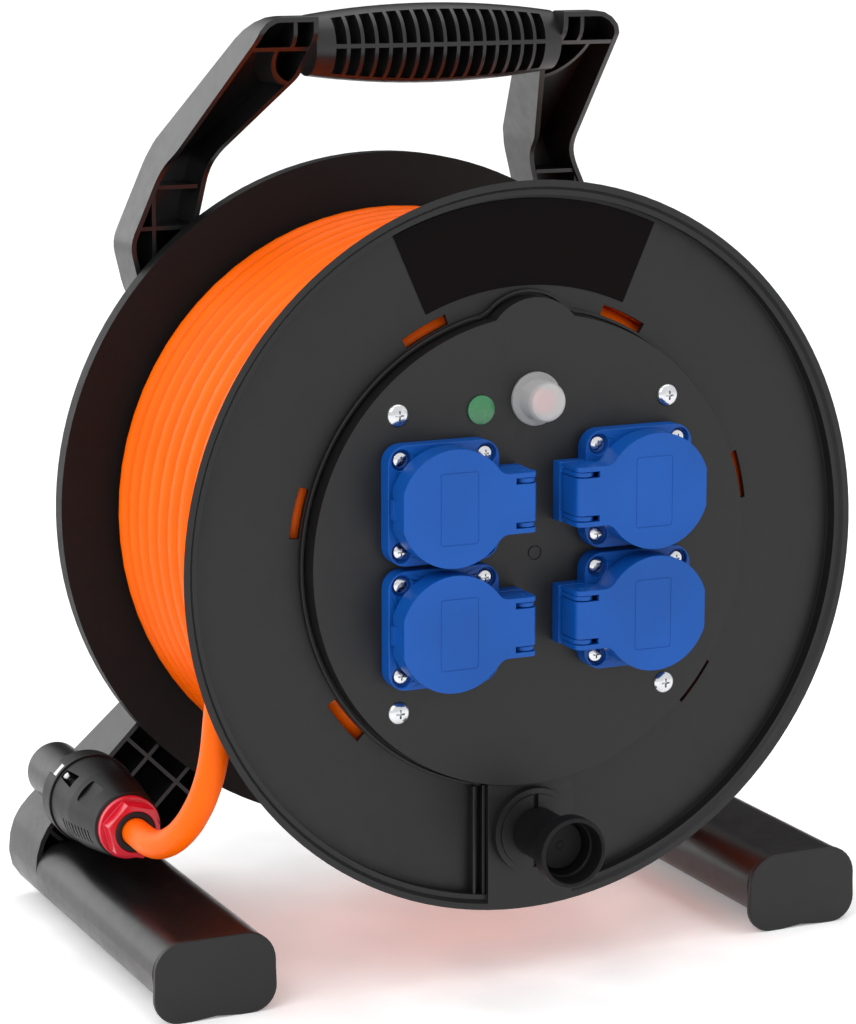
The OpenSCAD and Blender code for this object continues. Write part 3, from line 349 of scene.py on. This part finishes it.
MAKERS = {
    "drum": polypropylene_drum, "frame": polypropylene_frame, "blue": polyamide_blue, "red": polyamide_red,
    "grey": polyamide_grey, "plug": elastomer_plug, "rubber": rubber_seal, "label": vinyl_label,
    "sheath": pvc_sheath, "lens": polycarbonate_lens, "cap": silicone_cap, "screw": zinc_screw,
    "steel": turned_steel, "brass": nickelled_brass, "floor": painted_floor, "painted_shade": polypropylene_painted_shade,
}
_made = {}


def finish_of(name):
    """The material of this name, made once."""
    if name not in _made:
        _made[name] = MAKERS[name]()
    return _made[name]


# ---- Modelling ----


def settle(bm):
    """Takes a mesh from drum millimetres to the frame's metres."""
    bmesh.ops.transform(bm, matrix=Matrix.Translation(AXLE) @ Matrix.Scale(MM, 4), verts=bm.verts)


def body_of(node):
    return frame["nodes"][node]["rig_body"]


def shown(name, bm, finish, nodes, smooth=38.0):
    """Makes a piece of a mesh in drum millimetres. It rides with its nodes and stands for them."""
    settle(bm)
    mesh = bpy.data.meshes.new(name)
    bm.to_mesh(mesh)
    bm.free()
    mesh.shade_smooth()
    mesh.set_sharp_from_angle(angle=math.radians(smooth))
    mesh.materials.append(finish_of(finish))
    piece = bpy.data.objects.new(name, mesh)
    bpy.context.scene.collection.objects.link(piece)
    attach(piece, body_of(nodes[0]))
    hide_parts(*nodes)
    return piece


def rounded_edges(piece, radius, segments=2, angle=33.0):
    """Rounds the edges of a piece that are sharper than the angle, and keeps its flat faces flat."""
    bevel = piece.modifiers.new("rounding", "BEVEL")
    bevel.width = radius
    bevel.segments = segments
    bevel.limit_method = "ANGLE"
    bevel.angle_limit = math.radians(angle)
    bevel.use_clamp_overlap = True
    bevel.miter_outer = "MITER_ARC"
    normals = piece.modifiers.new("flat_faces", "WEIGHTED_NORMAL")
    normals.keep_sharp = True


def merged_copy(node):
    """A node's mesh in drum millimetres, with its triangles joined into whole faces."""
    bm = bmesh.new()
    bm.from_mesh(frame["nodes"][node].data)
    bmesh.ops.remove_doubles(bm, verts=bm.verts, dist=0.000002)
    bmesh.ops.dissolve_limit(bm, angle_limit=math.radians(0.6), verts=bm.verts, edges=bm.edges)
    unsettle = (Matrix.Translation(AXLE) @ Matrix.Scale(MM, 4)).inverted()
    bmesh.ops.transform(bm, matrix=unsettle, verts=bm.verts)
    return bm


def dressed(node, finish, radius=None, segments=2, mesh=None):
    """A moulded piece with rounded edges, of a mesh in drum millimetres or else of a merged copy of its node."""
    piece = shown(node + "_moulded", mesh or merged_copy(node), finish, [node])
    rounded_edges(piece, sizes().rounding if radius is None else radius * MM, segments)


def as_built(finish, *nodes):
    """Nodes that need no more than their material."""
    for node in nodes:
        materials = frame["nodes"][node].data.materials
        materials.clear()
        materials.append(finish_of(finish))


def turned(bm, profile, at=(0, 0, 0), steps=64):
    """Spins a profile of (radius, y) round the Y direction through a place. The profile is closed."""
    verts = [bm.verts.new((at[0] + r, at[1] + y, at[2])) for r, y in profile]
    edges = [bm.edges.new((a, b)) for a, b in zip(verts, verts[1:] + verts[:1])]
    bmesh.ops.spin(
        bm, geom=verts + edges, cent=at, axis=(0, 1, 0), angle=math.tau, steps=steps, use_merge=True, dvec=(0, 0, 0)
    )
    bmesh.ops.remove_doubles(bm, verts=bm.verts, dist=0.0005)
    bmesh.ops.recalc_face_normals(bm, faces=bm.faces)


def spline_object(name, points, radius, kind, sides):
    """A round cord along points of the frame, as a curve with one open spline."""
    curve = bpy.data.curves.new(name, "CURVE")
    curve.dimensions = "3D"
    curve.bevel_depth = radius
    curve.bevel_resolution = (sides - 4) // 2
    curve.use_fill_caps = True
    curve.resolution_u = 5
    spline = curve.splines.new(kind)
    if kind == "BEZIER":
        spline.bezier_points.add(len(points) - 1)
        for place, point in zip(points, spline.bezier_points):
            point.co = place
            point.handle_left_type = point.handle_right_type = "AUTO"
    else:
        spline.points.add(len(points) - 1)
        for place, point in zip(points, spline.points):
            point.co = (*place, 1.0)
        spline.use_smooth = True
    piece = bpy.data.objects.new(name, curve)
    bpy.context.scene.collection.objects.link(piece)
    return piece


# ---- Cord ----


def smooth_step(t):
    t = max(0.0, min(1.0, t))
    return t * t * (3 - 2 * t)


def winding_route():
    """The turns on the barrel, layer on layer. Each turn steps over to its place in its first quarter."""
    steps = 72
    crossover = 0.25
    cord = sizes().cord_diameter / MM
    pitch = sizes().cord_pitch / MM
    front = WINDING_LOW.y + pitch / 2
    inner = WINDING_HIGH.x - cord * (sizes().layers - 0.5)
    places = []
    for layer in range(sizes().layers):
        last = layer == sizes().layers - 1
        for turn in range(sizes().turns - last):
            from_front = turn if layer % 2 else sizes().turns - 1 - turn
            places.append((front + pitch * from_front, inner + cord * layer))
    points = []
    for turn, (y, r) in enumerate(places):
        y_before, r_before = places[max(turn - 1, 0)]
        for step in range(steps):
            share = smooth_step(step / steps / crossover)
            angle = math.radians(-90 + 360 * step / steps)
            radius = r_before + (r - r_before) * share
            points.append(spot(radius * math.cos(angle), y_before + (y - y_before) * share, radius * math.sin(angle)))
    # The last turn ends by dipping into the layer below, where its end can't be seen
    y, r = places[-1]
    for step in range(steps // 10):
        radius = r - cord * smooth_step(step / (steps // 10 - 1))
        angle = math.radians(-90 + 360 * step / steps)
        points.append(spot(radius * math.cos(angle), y, radius * math.sin(angle)))
    return points


def tail_route():
    """The last turn, and the free end that leads to the plug parked beside the left leg."""
    turn_from, turn_to, steps = -155, 172, 30
    cord = sizes().cord_diameter / MM
    radius = WINDING_HIGH.x - cord / 2
    y = WINDING_LOW.y + sizes().cord_pitch / MM / 2
    turn = []
    for step in range(steps + 1):
        angle = math.radians(turn_from + (turn_to - turn_from) * step / steps)
        turn.append(spot(radius * math.cos(angle), y, radius * math.sin(angle)))
    end = spot(PLUG_X, SEAL_HIGH.y - 2, PLUG_Z)
    return turn + [spot(*point) for point in TAIL] + [end]


class REEL_OT_cord(Operator):
    """Winds the cord on the barrel and leads its free end to the plug"""

    bl_idname = "reel.cord"
    bl_label = "Cord"

    def execute(self, context):
        diameter = sizes().cord_diameter
        route = winding_route()
        winding = spline_object("cord_turns", route, diameter / 2, "POLY", 14)
        winding.data.materials.append(finish_of("sheath"))
        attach(winding, body_of("cord_winding"))
        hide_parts("cord_winding")
        route = tail_route()
        tail = spline_object("cord_free_end", route, diameter / 2, "BEZIER", 20)
        tail.data.materials.append(finish_of("sheath"))
        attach(tail, body_of("cord_tail"))
        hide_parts("cord_tail")
        as_built("sheath", "inner_lead")
        return {"FINISHED"}


# ---- Plug ----


def plug_place(along, turn):
    """A place on the plug's axis, so far behind the gland, with its third axis turned so many degrees from upright."""
    return Matrix.Translation((PLUG_X, GLAND_Y + along, PLUG_Z)) @ Matrix.Rotation(math.radians(turn), 4, "Y")


class REEL_OT_plug(Operator):
    """Finishes the plug, its red gland nut and its contacts"""

    bl_idname = "reel.plug"
    bl_label = "Plug"

    def execute(self, context):
        # A sunk plate faces up and left, tilted like the body's slope
        cutter = bmesh.new()
        outward = plug_place(28, -45) @ Matrix.Rotation(math.radians(7), 4, "X")
        extruded(cutter, rounded_outline(11.0, 11.5, 1.6), outward, 15.7, 26.0)
        # Rows of short grip grooves on both sides, as deep all along the slope
        grooves, pitch, first = 9, 3.1, 18
        slope, start, start_radius = 0.122, 14.7, 15.75
        for side in (-1, 1):
            for step in range(grooves):
                along = first + pitch * step
                out = Matrix.Translation((0, 0, start_radius + slope * (along - start)))
                place = plug_place(along, side * 110) @ out @ Matrix.Diagonal((6.5, 1.1, 3.0, 1))
                bmesh.ops.create_cube(cutter, size=1.0, matrix=place)
        dressed("plug_body", "plug", 0.3, mesh=carved(merged_copy("plug_body"), cutter))
        dressed("plug_insert", "plug", 0.4)
        dressed("gland_nut", "red", 0.7, 3)
        dressed("gland_seal", "rubber", 0.8, 3)
        as_built("brass", "plug_pins")
        as_built("steel", "plug_earth_strips")
        screws("plug_screw", 1.6)
        return {"FINISHED"}


# ---- Shapes along outlines ----


def rounded_outline(width, height, radius, steps=6):
    """A rectangle round the origin with rounded corners, counterclockwise, as points of a plane."""
    points = []
    for corner in range(4):
        turn = math.radians(90 * corner)
        x = (width / 2 - radius) * (1 if corner in (0, 3) else -1)
        y = (height / 2 - radius) * (1 if corner < 2 else -1)
        for step in range(steps + 1):
            angle = turn + math.radians(90 * step / steps)
            points.append((x + radius * math.cos(angle), y + radius * math.sin(angle)))
    return points


FACING_FRONT = Matrix.Rotation(math.radians(90), 4, "X")


def extruded(bm, outline, matrix, low, high, taper=1.0, groove=None):
    """Extrudes an outline along the matrix's third axis, and narrows its far end.

    groove leaves only a strip so wide along the outline.
    """
    face = bm.faces.new([bm.verts.new((x, y, low)) for x, y in outline])
    face.normal_update()
    faces = [face]
    if groove:
        inset = bmesh.ops.inset_region(bm, faces=[face], thickness=groove, use_even_offset=True, use_boundary=True)
        faces = inset["faces"]
        bmesh.ops.delete(bm, geom=[face], context="FACES_ONLY")
    near = {vert for face in faces for vert in face.verts}
    made = bmesh.ops.extrude_face_region(bm, geom=faces)["geom"]
    far_end = [item for item in made if isinstance(item, bmesh.types.BMVert)]
    bmesh.ops.translate(bm, vec=(0, 0, high - low), verts=far_end)
    bmesh.ops.scale(bm, vec=(taper, taper, 1), verts=far_end)
    verts = list(near) + far_end
    bmesh.ops.transform(bm, matrix=matrix, verts=verts)
    bmesh.ops.recalc_face_normals(bm, faces=list({face for vert in verts for face in vert.link_faces}))


# ---- Screws ----


def islands(bm):
    """The separate solids of a mesh, as lists of vertices."""
    left = set(bm.verts)
    found = []
    while left:
        group, edge_of_group = set(), [left.pop()]
        while edge_of_group:
            vert = edge_of_group.pop()
            group.add(vert)
            for edge in vert.link_edges:
                other = edge.other_vert(vert)
                if other in left:
                    left.discard(other)
                    edge_of_group.append(other)
        found.append(list(group))
    return found


def cross_recess(bm, at, size, depth, toward):
    """A cutter for a cross recess: a plus shape that narrows as it goes in. size is its width."""
    half, arm = size / 2, size / 10
    plus = [(half, arm), (arm, arm), (arm, half)]
    for _ in range(3):
        plus += [(-y, x) for x, y in plus[-3:]]
    place = Matrix.Translation(at) @ FACING_FRONT @ Matrix.Scale(-toward, 4, (0, 0, 1))
    extruded(bm, plus, place, -depth, depth, 0.45)


def carved(target, cutter):
    """The mesh of target less the mesh of cutter. Both are used up."""
    pair = []
    for bm in (target, cutter):
        mesh = bpy.data.meshes.new("working")
        bm.to_mesh(mesh)
        bm.free()
        pair.append(bpy.data.objects.new("working", mesh))
        bpy.context.scene.collection.objects.link(pair[-1])
    cut = pair[0].modifiers.new("cut", "BOOLEAN")
    cut.operation = "DIFFERENCE"
    cut.solver = "EXACT"
    cut.object = pair[1]
    result = bmesh.new()
    result.from_object(pair[0], bpy.context.evaluated_depsgraph_get())
    for piece in pair:
        bpy.data.objects.remove(piece)
    return result


def screws(node, crown, toward=1):
    """Pan head screws in place of a node's plain ones. toward is 1 where the heads face the front, -1 at the back."""
    source = merged_copy(node)
    bm, cutter = bmesh.new(), bmesh.new()
    for group in islands(source):
        xs = [v.co.x for v in group]
        ys = [v.co.y for v in group]
        zs = [v.co.z for v in group]
        centre = ((min(xs) + max(xs)) / 2, 0, (min(zs) + max(zs)) / 2)
        radius = (max(xs) - min(xs)) / 2
        top, tip = (min(ys), max(ys)) if toward > 0 else (max(ys), min(ys))
        seat = top + crown * toward
        shank = radius * 0.42
        profile = [
            (0, top), (radius * 0.34, top + 0.04 * crown * toward), (radius * 0.66, top + 0.2 * crown * toward),
            (radius * 0.88, top + 0.48 * crown * toward), (radius * 0.98, top + 0.8 * crown * toward),
            (radius, seat - 0.05 * toward), (radius * 0.97, seat), (shank, seat),
            (shank, tip - 1.0 * toward), (shank * 0.7, tip), (0, tip),
        ]
        turned(bm, profile, centre, 40)
        cross_recess(cutter, (centre[0], top, centre[2]), radius * 1.16, crown * 0.7, toward)
    source.free()
    return shown(node + "_pan_head", carved(bm, cutter), "screw", [node], 28.0)


# ---- Drum ----


def panel_offset(distance, fillet=9.0):
    """The panel's outline moved out by a distance: a big circle, a bulge on top and a fillet between them."""
    big, bulge = PANEL_R + distance, BULGE_R + distance
    # A fillet's centre lies outside both circles and touches them
    a, b = big + fillet, bulge + fillet
    z = (a * a - b * b + BULGE_Z * BULGE_Z) / (2 * BULGE_Z)
    x = math.sqrt(a * a - z * z)
    low = math.atan2(z, x)
    high = math.atan2(z - BULGE_Z, x)
    points = []

    def arc(centre, radius, start, end, steps):
        for step in range(steps + 1):
            angle = start + (end - start) * step / steps
            points.append((centre[0] + radius * math.cos(angle), centre[1] + radius * math.sin(angle)))

    from_pad = math.asin(PAD_HALF / big)
    arc((0, 0), big, -math.pi / 2 + from_pad, low, 64)
    arc((x, z), fillet, low + math.pi, high + math.pi, 10)
    arc((0, BULGE_Z), bulge, high, math.pi - high, 40)
    arc((-x, z), fillet, -high, -low, 10)
    arc((0, 0), big, math.pi - low, math.pi * 1.5 - from_pad, 64)
    return points


class REEL_OT_drum(Operator):
    """Finishes the flanges, the barrel and the bare label"""

    bl_idname = "reel.drum"
    bl_label = "Drum"

    def execute(self, context):
        # The rim's outer wall tapers, so that only its lip shows from the front
        behind_lip = 1.0
        outer_wall, outer_taper = RIM_INNER + 4, 4.8
        inner_wall, inner_taper = RIM_INNER - 1, 1.4
        flange = merged_copy("front_flange")
        for vert in flange.verts:
            radius = math.hypot(vert.co.x, vert.co.z)
            if vert.co.y > behind_lip and radius > inner_wall:
                share = (radius - (outer_taper if radius > outer_wall else inner_taper)) / radius
                vert.co.x *= share
                vert.co.z *= share
        dressed("front_flange", "drum", 0.55, 3, mesh=flange)
        # A ridge runs round the panel, and two higher strips go down beside the knob's pad
        near, far, strip_width = 1.1, 2.5, 1.4
        sunk, ridge_height, strip_height = 0.3, 2.4, 5.0
        bm = bmesh.new()
        ridge = panel_offset(near) + panel_offset(far)[::-1]
        extruded(bm, ridge, FACING_FRONT, -WEB_Y - sunk, ridge_height - WEB_Y)
        bottom = -math.sqrt((PANEL_R + near) ** 2 - PAD_HALF**2)
        for x in (-PAD_HALF - 0.2, -PAD_HALF - 4.6):
            strip = [(x, bottom), (x - strip_width, bottom), (x - strip_width, -RIM_INNER), (x, -RIM_INNER)]
            extruded(bm, strip, FACING_FRONT, -WEB_Y - sunk, strip_height - WEB_Y)
        rounded_edges(shown("front_flange_ridges", bm, "drum", ["front_flange"]), 0.4 * MM)
        # The back flange's black is darkened to half as painted shade
        dressed("back_flange", "painted_shade", 0.5)
        dressed("barrel", "drum", 0.3)
        # The label's film is a little narrower than its plate
        height_share, angle_share = 0.96, 0.965
        label = merged_copy("label_plate")
        inner = min(math.hypot(vert.co.x, vert.co.z) for vert in label.verts)
        for vert in label.verts:
            radius = inner + (math.hypot(vert.co.x, vert.co.z) - inner) * height_share
            angle = math.atan2(vert.co.x, vert.co.z) * angle_share
            vert.co.x, vert.co.z = radius * math.sin(angle), radius * math.cos(angle)
        rounded_edges(shown("label_plate_film", label, "label", ["label_plate"]), 0.15 * MM)
        screws("drum_screws", 2.4, -1)
        as_built("grey", "hub_bushes")
        return {"FINISHED"}


# ---- Socket panel ----


class REEL_OT_panel(Operator):
    """Finishes the round socket panel, its seal and its screws"""

    bl_idname = "reel.panel"
    bl_label = "Socket Panel"

    def execute(self, context):
        # A small ring is engraved in the middle
        cutter = bmesh.new()
        turned(cutter, [(2.6, -2.0), (2.6, 0.5), (3.2, 0.5), (3.2, -2.0)], (0, PANEL_Y, 0), 40)
        dressed("centre_panel", "drum", mesh=carved(merged_copy("centre_panel"), cutter))
        dressed("panel_gasket", "rubber", 0.1)
        screws("panel_screws", 2.2)
        return {"FINISHED"}


# ---- Sockets ----


class REEL_OT_sockets(Operator):
    """Finishes the four socket bases with their contacts and screws"""

    bl_idname = "reel.sockets"
    bl_label = "Sockets"

    def execute(self, context):
        for number in range(1, 5):
            # Its big faces have holes, and a bevel keeps those open only where the faces are split
            base = merged_copy(f"socket_base_{number}")
            bmesh.ops.triangulate(base, faces=[face for face in base.faces if len(face.verts) > 4])
            dressed(f"socket_base_{number}", "blue", 0.5, 3, base)
        screws("socket_screws", 1.8)
        as_built("brass", "contact_sleeves")
        as_built("steel", "earth_clips", "hinge_pins", "lid_springs")
        return {"FINISHED"}


class REEL_OT_lids(Operator):
    """Models the four spring lids with their seals"""

    bl_idname = "reel.lids"
    bl_label = "Socket Lids"

    def execute(self, context):
        from_hinge_side, depth = 35.6, 0.22
        for number in range(1, 5):
            node = f"socket_lid_{number}"
            low, high = drum_box(node)
            outward = -1 if low.x + high.x < 0 else 1
            hinge_side = high.x if outward < 0 else low.x
            middle = (hinge_side + outward * from_hinge_side, low.y, (low.z + high.z) / 2)
            cutter = bmesh.new()
            frame_of_plate = rounded_outline(17.2, 30.0, 1.4)
            extruded(cutter, frame_of_plate, Matrix.Translation(middle) @ FACING_FRONT, -depth, 2.0, groove=0.4)
            dressed(node, "blue", 1.2, 4, carved(merged_copy(node), cutter))
            dressed(f"lid_gasket_{number}", "rubber", 0.3)
        return {"FINISHED"}


# ---- Lamp and cut-out ----


class REEL_OT_lamp(Operator):
    """Models the lamp's lens and the cut-out's clear cap over its red button"""

    bl_idname = "reel.lamp"
    bl_label = "Lamp and Cut-out"

    def execute(self, context):
        dressed("indicator_lens", "lens", 0.3)
        dressed("reset_cap", "cap", 0.3)
        dressed("reset_button", "red", 0.8, 3)
        as_built("grey", "indicator_body")
        as_built("drum", "cutout_body")
        as_built("steel", "cutout_nut")
        return {"FINISHED"}


# ---- Knob ----


class REEL_OT_knob(Operator):
    """Finishes the winding knob, its ring and its pin"""

    bl_idname = "reel.knob"
    bl_label = "Knob"

    def execute(self, context):
        # The cup is deeper than the CAD's, so its floor, its washer and the pin's end lie further in
        old_depth, deeper = 9.0, 6.2
        low, high = drum_box("knob")
        middle = ((low.x + high.x) / 2, 0, (low.z + high.z) / 2)
        top, floor = low.y + 5, low.y + old_depth + deeper
        bm = bmesh.new()
        turned(bm, [(0, top), (12.35, top), (10.5, floor), (0, floor)], middle, 96)
        # The knob and its washer are darkened to half as painted shade
        dressed("knob", "painted_shade", 0.4, 3, carved(merged_copy("knob"), bm))
        for node, finish in (("knob_washer", "painted_shade"), ("knob_pin", "steel")):
            bm = merged_copy(node)
            in_cup = [vert for vert in bm.verts if vert.co.y < low.y + old_depth + 1]
            bmesh.ops.translate(bm, vec=(0, deeper, 0), verts=in_cup)
            dressed(node, finish, 0.3, 3, bm)
        low, high = drum_box("knob_ring")
        centre = ((low.x + high.x) / 2, 0, (low.z + high.z) / 2)
        outer = (high.x - low.x) / 2
        bm, cutter = bmesh.new(), bmesh.new()
        bore, step_width, step_height = 4, 2.5, 1
        step = low.y + step_height
        turned(bm, [
            (bore, high.y), (bore, low.y), (outer - step_width, low.y), (outer - step_width, step),
            (outer, step), (outer, high.y),
        ], centre, 72)
        for side in (-1, 1):
            slot = Matrix.Translation((centre[0], low.y, centre[2] + side * (outer - 6)))
            bmesh.ops.create_cube(cutter, size=1.0, matrix=slot @ Matrix.Diagonal((2.2, 4, 7, 1)))
        dressed("knob_ring", "drum", 0.4, 3, carved(bm, cutter))
        return {"FINISHED"}


# ---- Frame ----


class REEL_OT_frame(Operator):
    """Finishes the cross-shaped frame, the grip, the foot bars and their caps"""

    bl_idname = "reel.frame"
    bl_label = "Frame"

    def execute(self, context):
        dressed("frame", "frame", 0.6)
        dressed("handle_grip", "frame", 0.35)
        for side in ("left", "right"):
            dressed(f"foot_bar_{side}", "frame", 0.4)
            dressed(f"foot_cap_{side}", "drum", 0.6, 3)
        screws("foot_screws", 2.4, -1)
        as_built("steel", "axle", "axle_washer", "axle_bolt")
        return {"FINISHED"}


class REEL_OT_inside(Operator):
    """Finishes what the barrel holds"""

    bl_idname = "reel.inside"
    bl_label = "Inner Fittings"

    def execute(self, context):
        as_built("grey", "cord_clamp", "terminal_block")
        screws("clamp_screws", 1.8)
        return {"FINISHED"}


# ---- Stage ----

CAMERA_AT = (-591.3, -1172.3, 275.5)
CAMERA_AZIMUTH = -24.87
CAMERA_ELEVATION = 11.15
CAMERA_ROLL = -0.06
FOCAL_PIXELS = 3211.9
PICTURE_HEIGHT = 1024
SENSOR = 36.0


def make_camera():
    """The camera stands left of the reel, a little above it, at the distance that gives its perspective."""
    azimuth = math.radians(CAMERA_AZIMUTH)
    elevation = math.radians(CAMERA_ELEVATION)
    back = Vector((
        math.sin(azimuth) * math.cos(elevation), -math.cos(azimuth) * math.cos(elevation), math.sin(elevation)
    ))
    data = bpy.data.cameras.new("camera")
    data.sensor_width = SENSOR
    data.lens = FOCAL_PIXELS / PICTURE_HEIGHT * SENSOR
    data.clip_end = 50
    camera = bpy.data.objects.new("camera", data)
    bpy.context.scene.collection.objects.link(camera)
    turn = (-back).to_track_quat("-Z", "Y").to_matrix() @ Matrix.Rotation(math.radians(CAMERA_ROLL), 3, "Z")
    camera.matrix_world = Matrix.Translation(spot(*CAMERA_AT)) @ turn.to_4x4()
    bpy.context.scene.camera = camera


def soft_light(name, place, aim, width, height, watts):
    data = bpy.data.lights.new(name, "AREA")
    data.shape = "RECTANGLE"
    data.size = width
    data.size_y = height
    data.energy = watts
    lamp = bpy.data.objects.new(name, data)
    bpy.context.scene.collection.objects.link(lamp)
    lamp.matrix_world = Matrix.Translation(place) @ (aim - place).to_track_quat("-Z", "Y").to_matrix().to_4x4()


def make_sky():
    """A bright dome. Low down behind the reel it is brighter on the left and nearly black on the right."""
    world = bpy.data.worlds.new("studio")
    world.use_nodes = True
    tree = world.node_tree
    tree.nodes.clear()
    direction = add(tree, "ShaderNodeTexCoord").outputs["Generated"]
    parts = add(tree, "ShaderNodeSeparateXYZ", {"Vector": direction}).outputs
    back = add(tree, "ShaderNodeMapRange", {"Value": parts["Y"], "From Min": 0.1, "From Max": 0.7}).outputs["Result"]
    low = add(tree, "ShaderNodeMapRange", {"Value": parts["Z"], "From Min": 0.8, "From Max": 0.45}).outputs["Result"]
    behind = add(tree, "ShaderNodeMath", {0: back, 1: low}, operation="MULTIPLY").outputs[0]
    across = {"Value": parts["X"], "From Min": -0.3, "From Max": 0.2, "To Min": 2.2, "To Max": 0.05}
    side = add(tree, "ShaderNodeMapRange", across).outputs["Result"]
    strength = add(tree, "ShaderNodeMix", {"Factor": behind, 2: 1.0, 3: side}, data_type="FLOAT").outputs[0]
    sky = add(tree, "ShaderNodeBackground", {"Color": (1, 1, 1, 1), "Strength": strength})
    add(tree, "ShaderNodeOutputWorld", {"Surface": sky.outputs["Background"]})
    bpy.context.scene.world = world


class REEL_OT_stage(Operator):
    """Sets the camera, the soft lights and the pale floor"""

    bl_idname = "reel.stage"
    bl_label = "Stage"

    def execute(self, context):
        make_camera()
        make_sky()
        bm = bmesh.new()
        bmesh.ops.create_grid(bm, x_segments=1, y_segments=1, size=40.0)
        mesh = bpy.data.meshes.new("floor")
        bm.to_mesh(mesh)
        bm.free()
        mesh.materials.append(finish_of("floor"))
        floor = bpy.data.objects.new("floor", mesh)
        context.scene.collection.objects.link(floor)
        middle = spot(0, 80, 0)
        soft_light("key", spot(-1500, -900, 1500), middle, 1.2, 1.2, 14)
        soft_light("top", spot(200, 100, 1900), middle, 1.8, 1.8, 10)
        context.scene.view_settings.view_transform = "Standard"
        return {"FINISHED"}


class REEL_PT_sidebar(Panel):
    """Lists the reel's pieces, sizes and colours"""

    bl_label = "Cord Reel"
    bl_idname = "REEL_PT_sidebar"
    bl_space_type = "VIEW_3D"
    bl_region_type = "UI"
    bl_category = "Cord Reel"

    def draw(self, context):
        for group in (context.scene.reel_sizes, context.scene.reel_colours):
            for name in group.__annotations__:
                self.layout.prop(group, name)
        for operator in OPERATORS:
            self.layout.operator(operator.bl_idname)


OPERATORS = (
    REEL_OT_stage, REEL_OT_plug, REEL_OT_cord, REEL_OT_drum, REEL_OT_panel, REEL_OT_sockets, REEL_OT_lids,
    REEL_OT_lamp, REEL_OT_knob, REEL_OT_frame, REEL_OT_inside,
)
CLASSES = (ReelSizes, ReelColours, *OPERATORS, REEL_PT_sidebar)


def register():
    for cls in CLASSES:
        bpy.utils.register_class(cls)
    bpy.types.Scene.reel_sizes = PointerProperty(type=ReelSizes)
    bpy.types.Scene.reel_colours = PointerProperty(type=ReelColours)


def unregister():
    del bpy.types.Scene.reel_colours
    del bpy.types.Scene.reel_sizes
    for cls in reversed(CLASSES):
        bpy.utils.unregister_class(cls)


def main():
    register()
    bpy.ops.reel.stage()
    bpy.ops.reel.plug()
    bpy.ops.reel.cord()
    bpy.ops.reel.drum()
    bpy.ops.reel.panel()
    bpy.ops.reel.sockets()
    bpy.ops.reel.lids()
    bpy.ops.reel.lamp()
    bpy.ops.reel.knob()
    bpy.ops.reel.frame()
    bpy.ops.reel.inside()


if __name__ == "__main__":
    main()
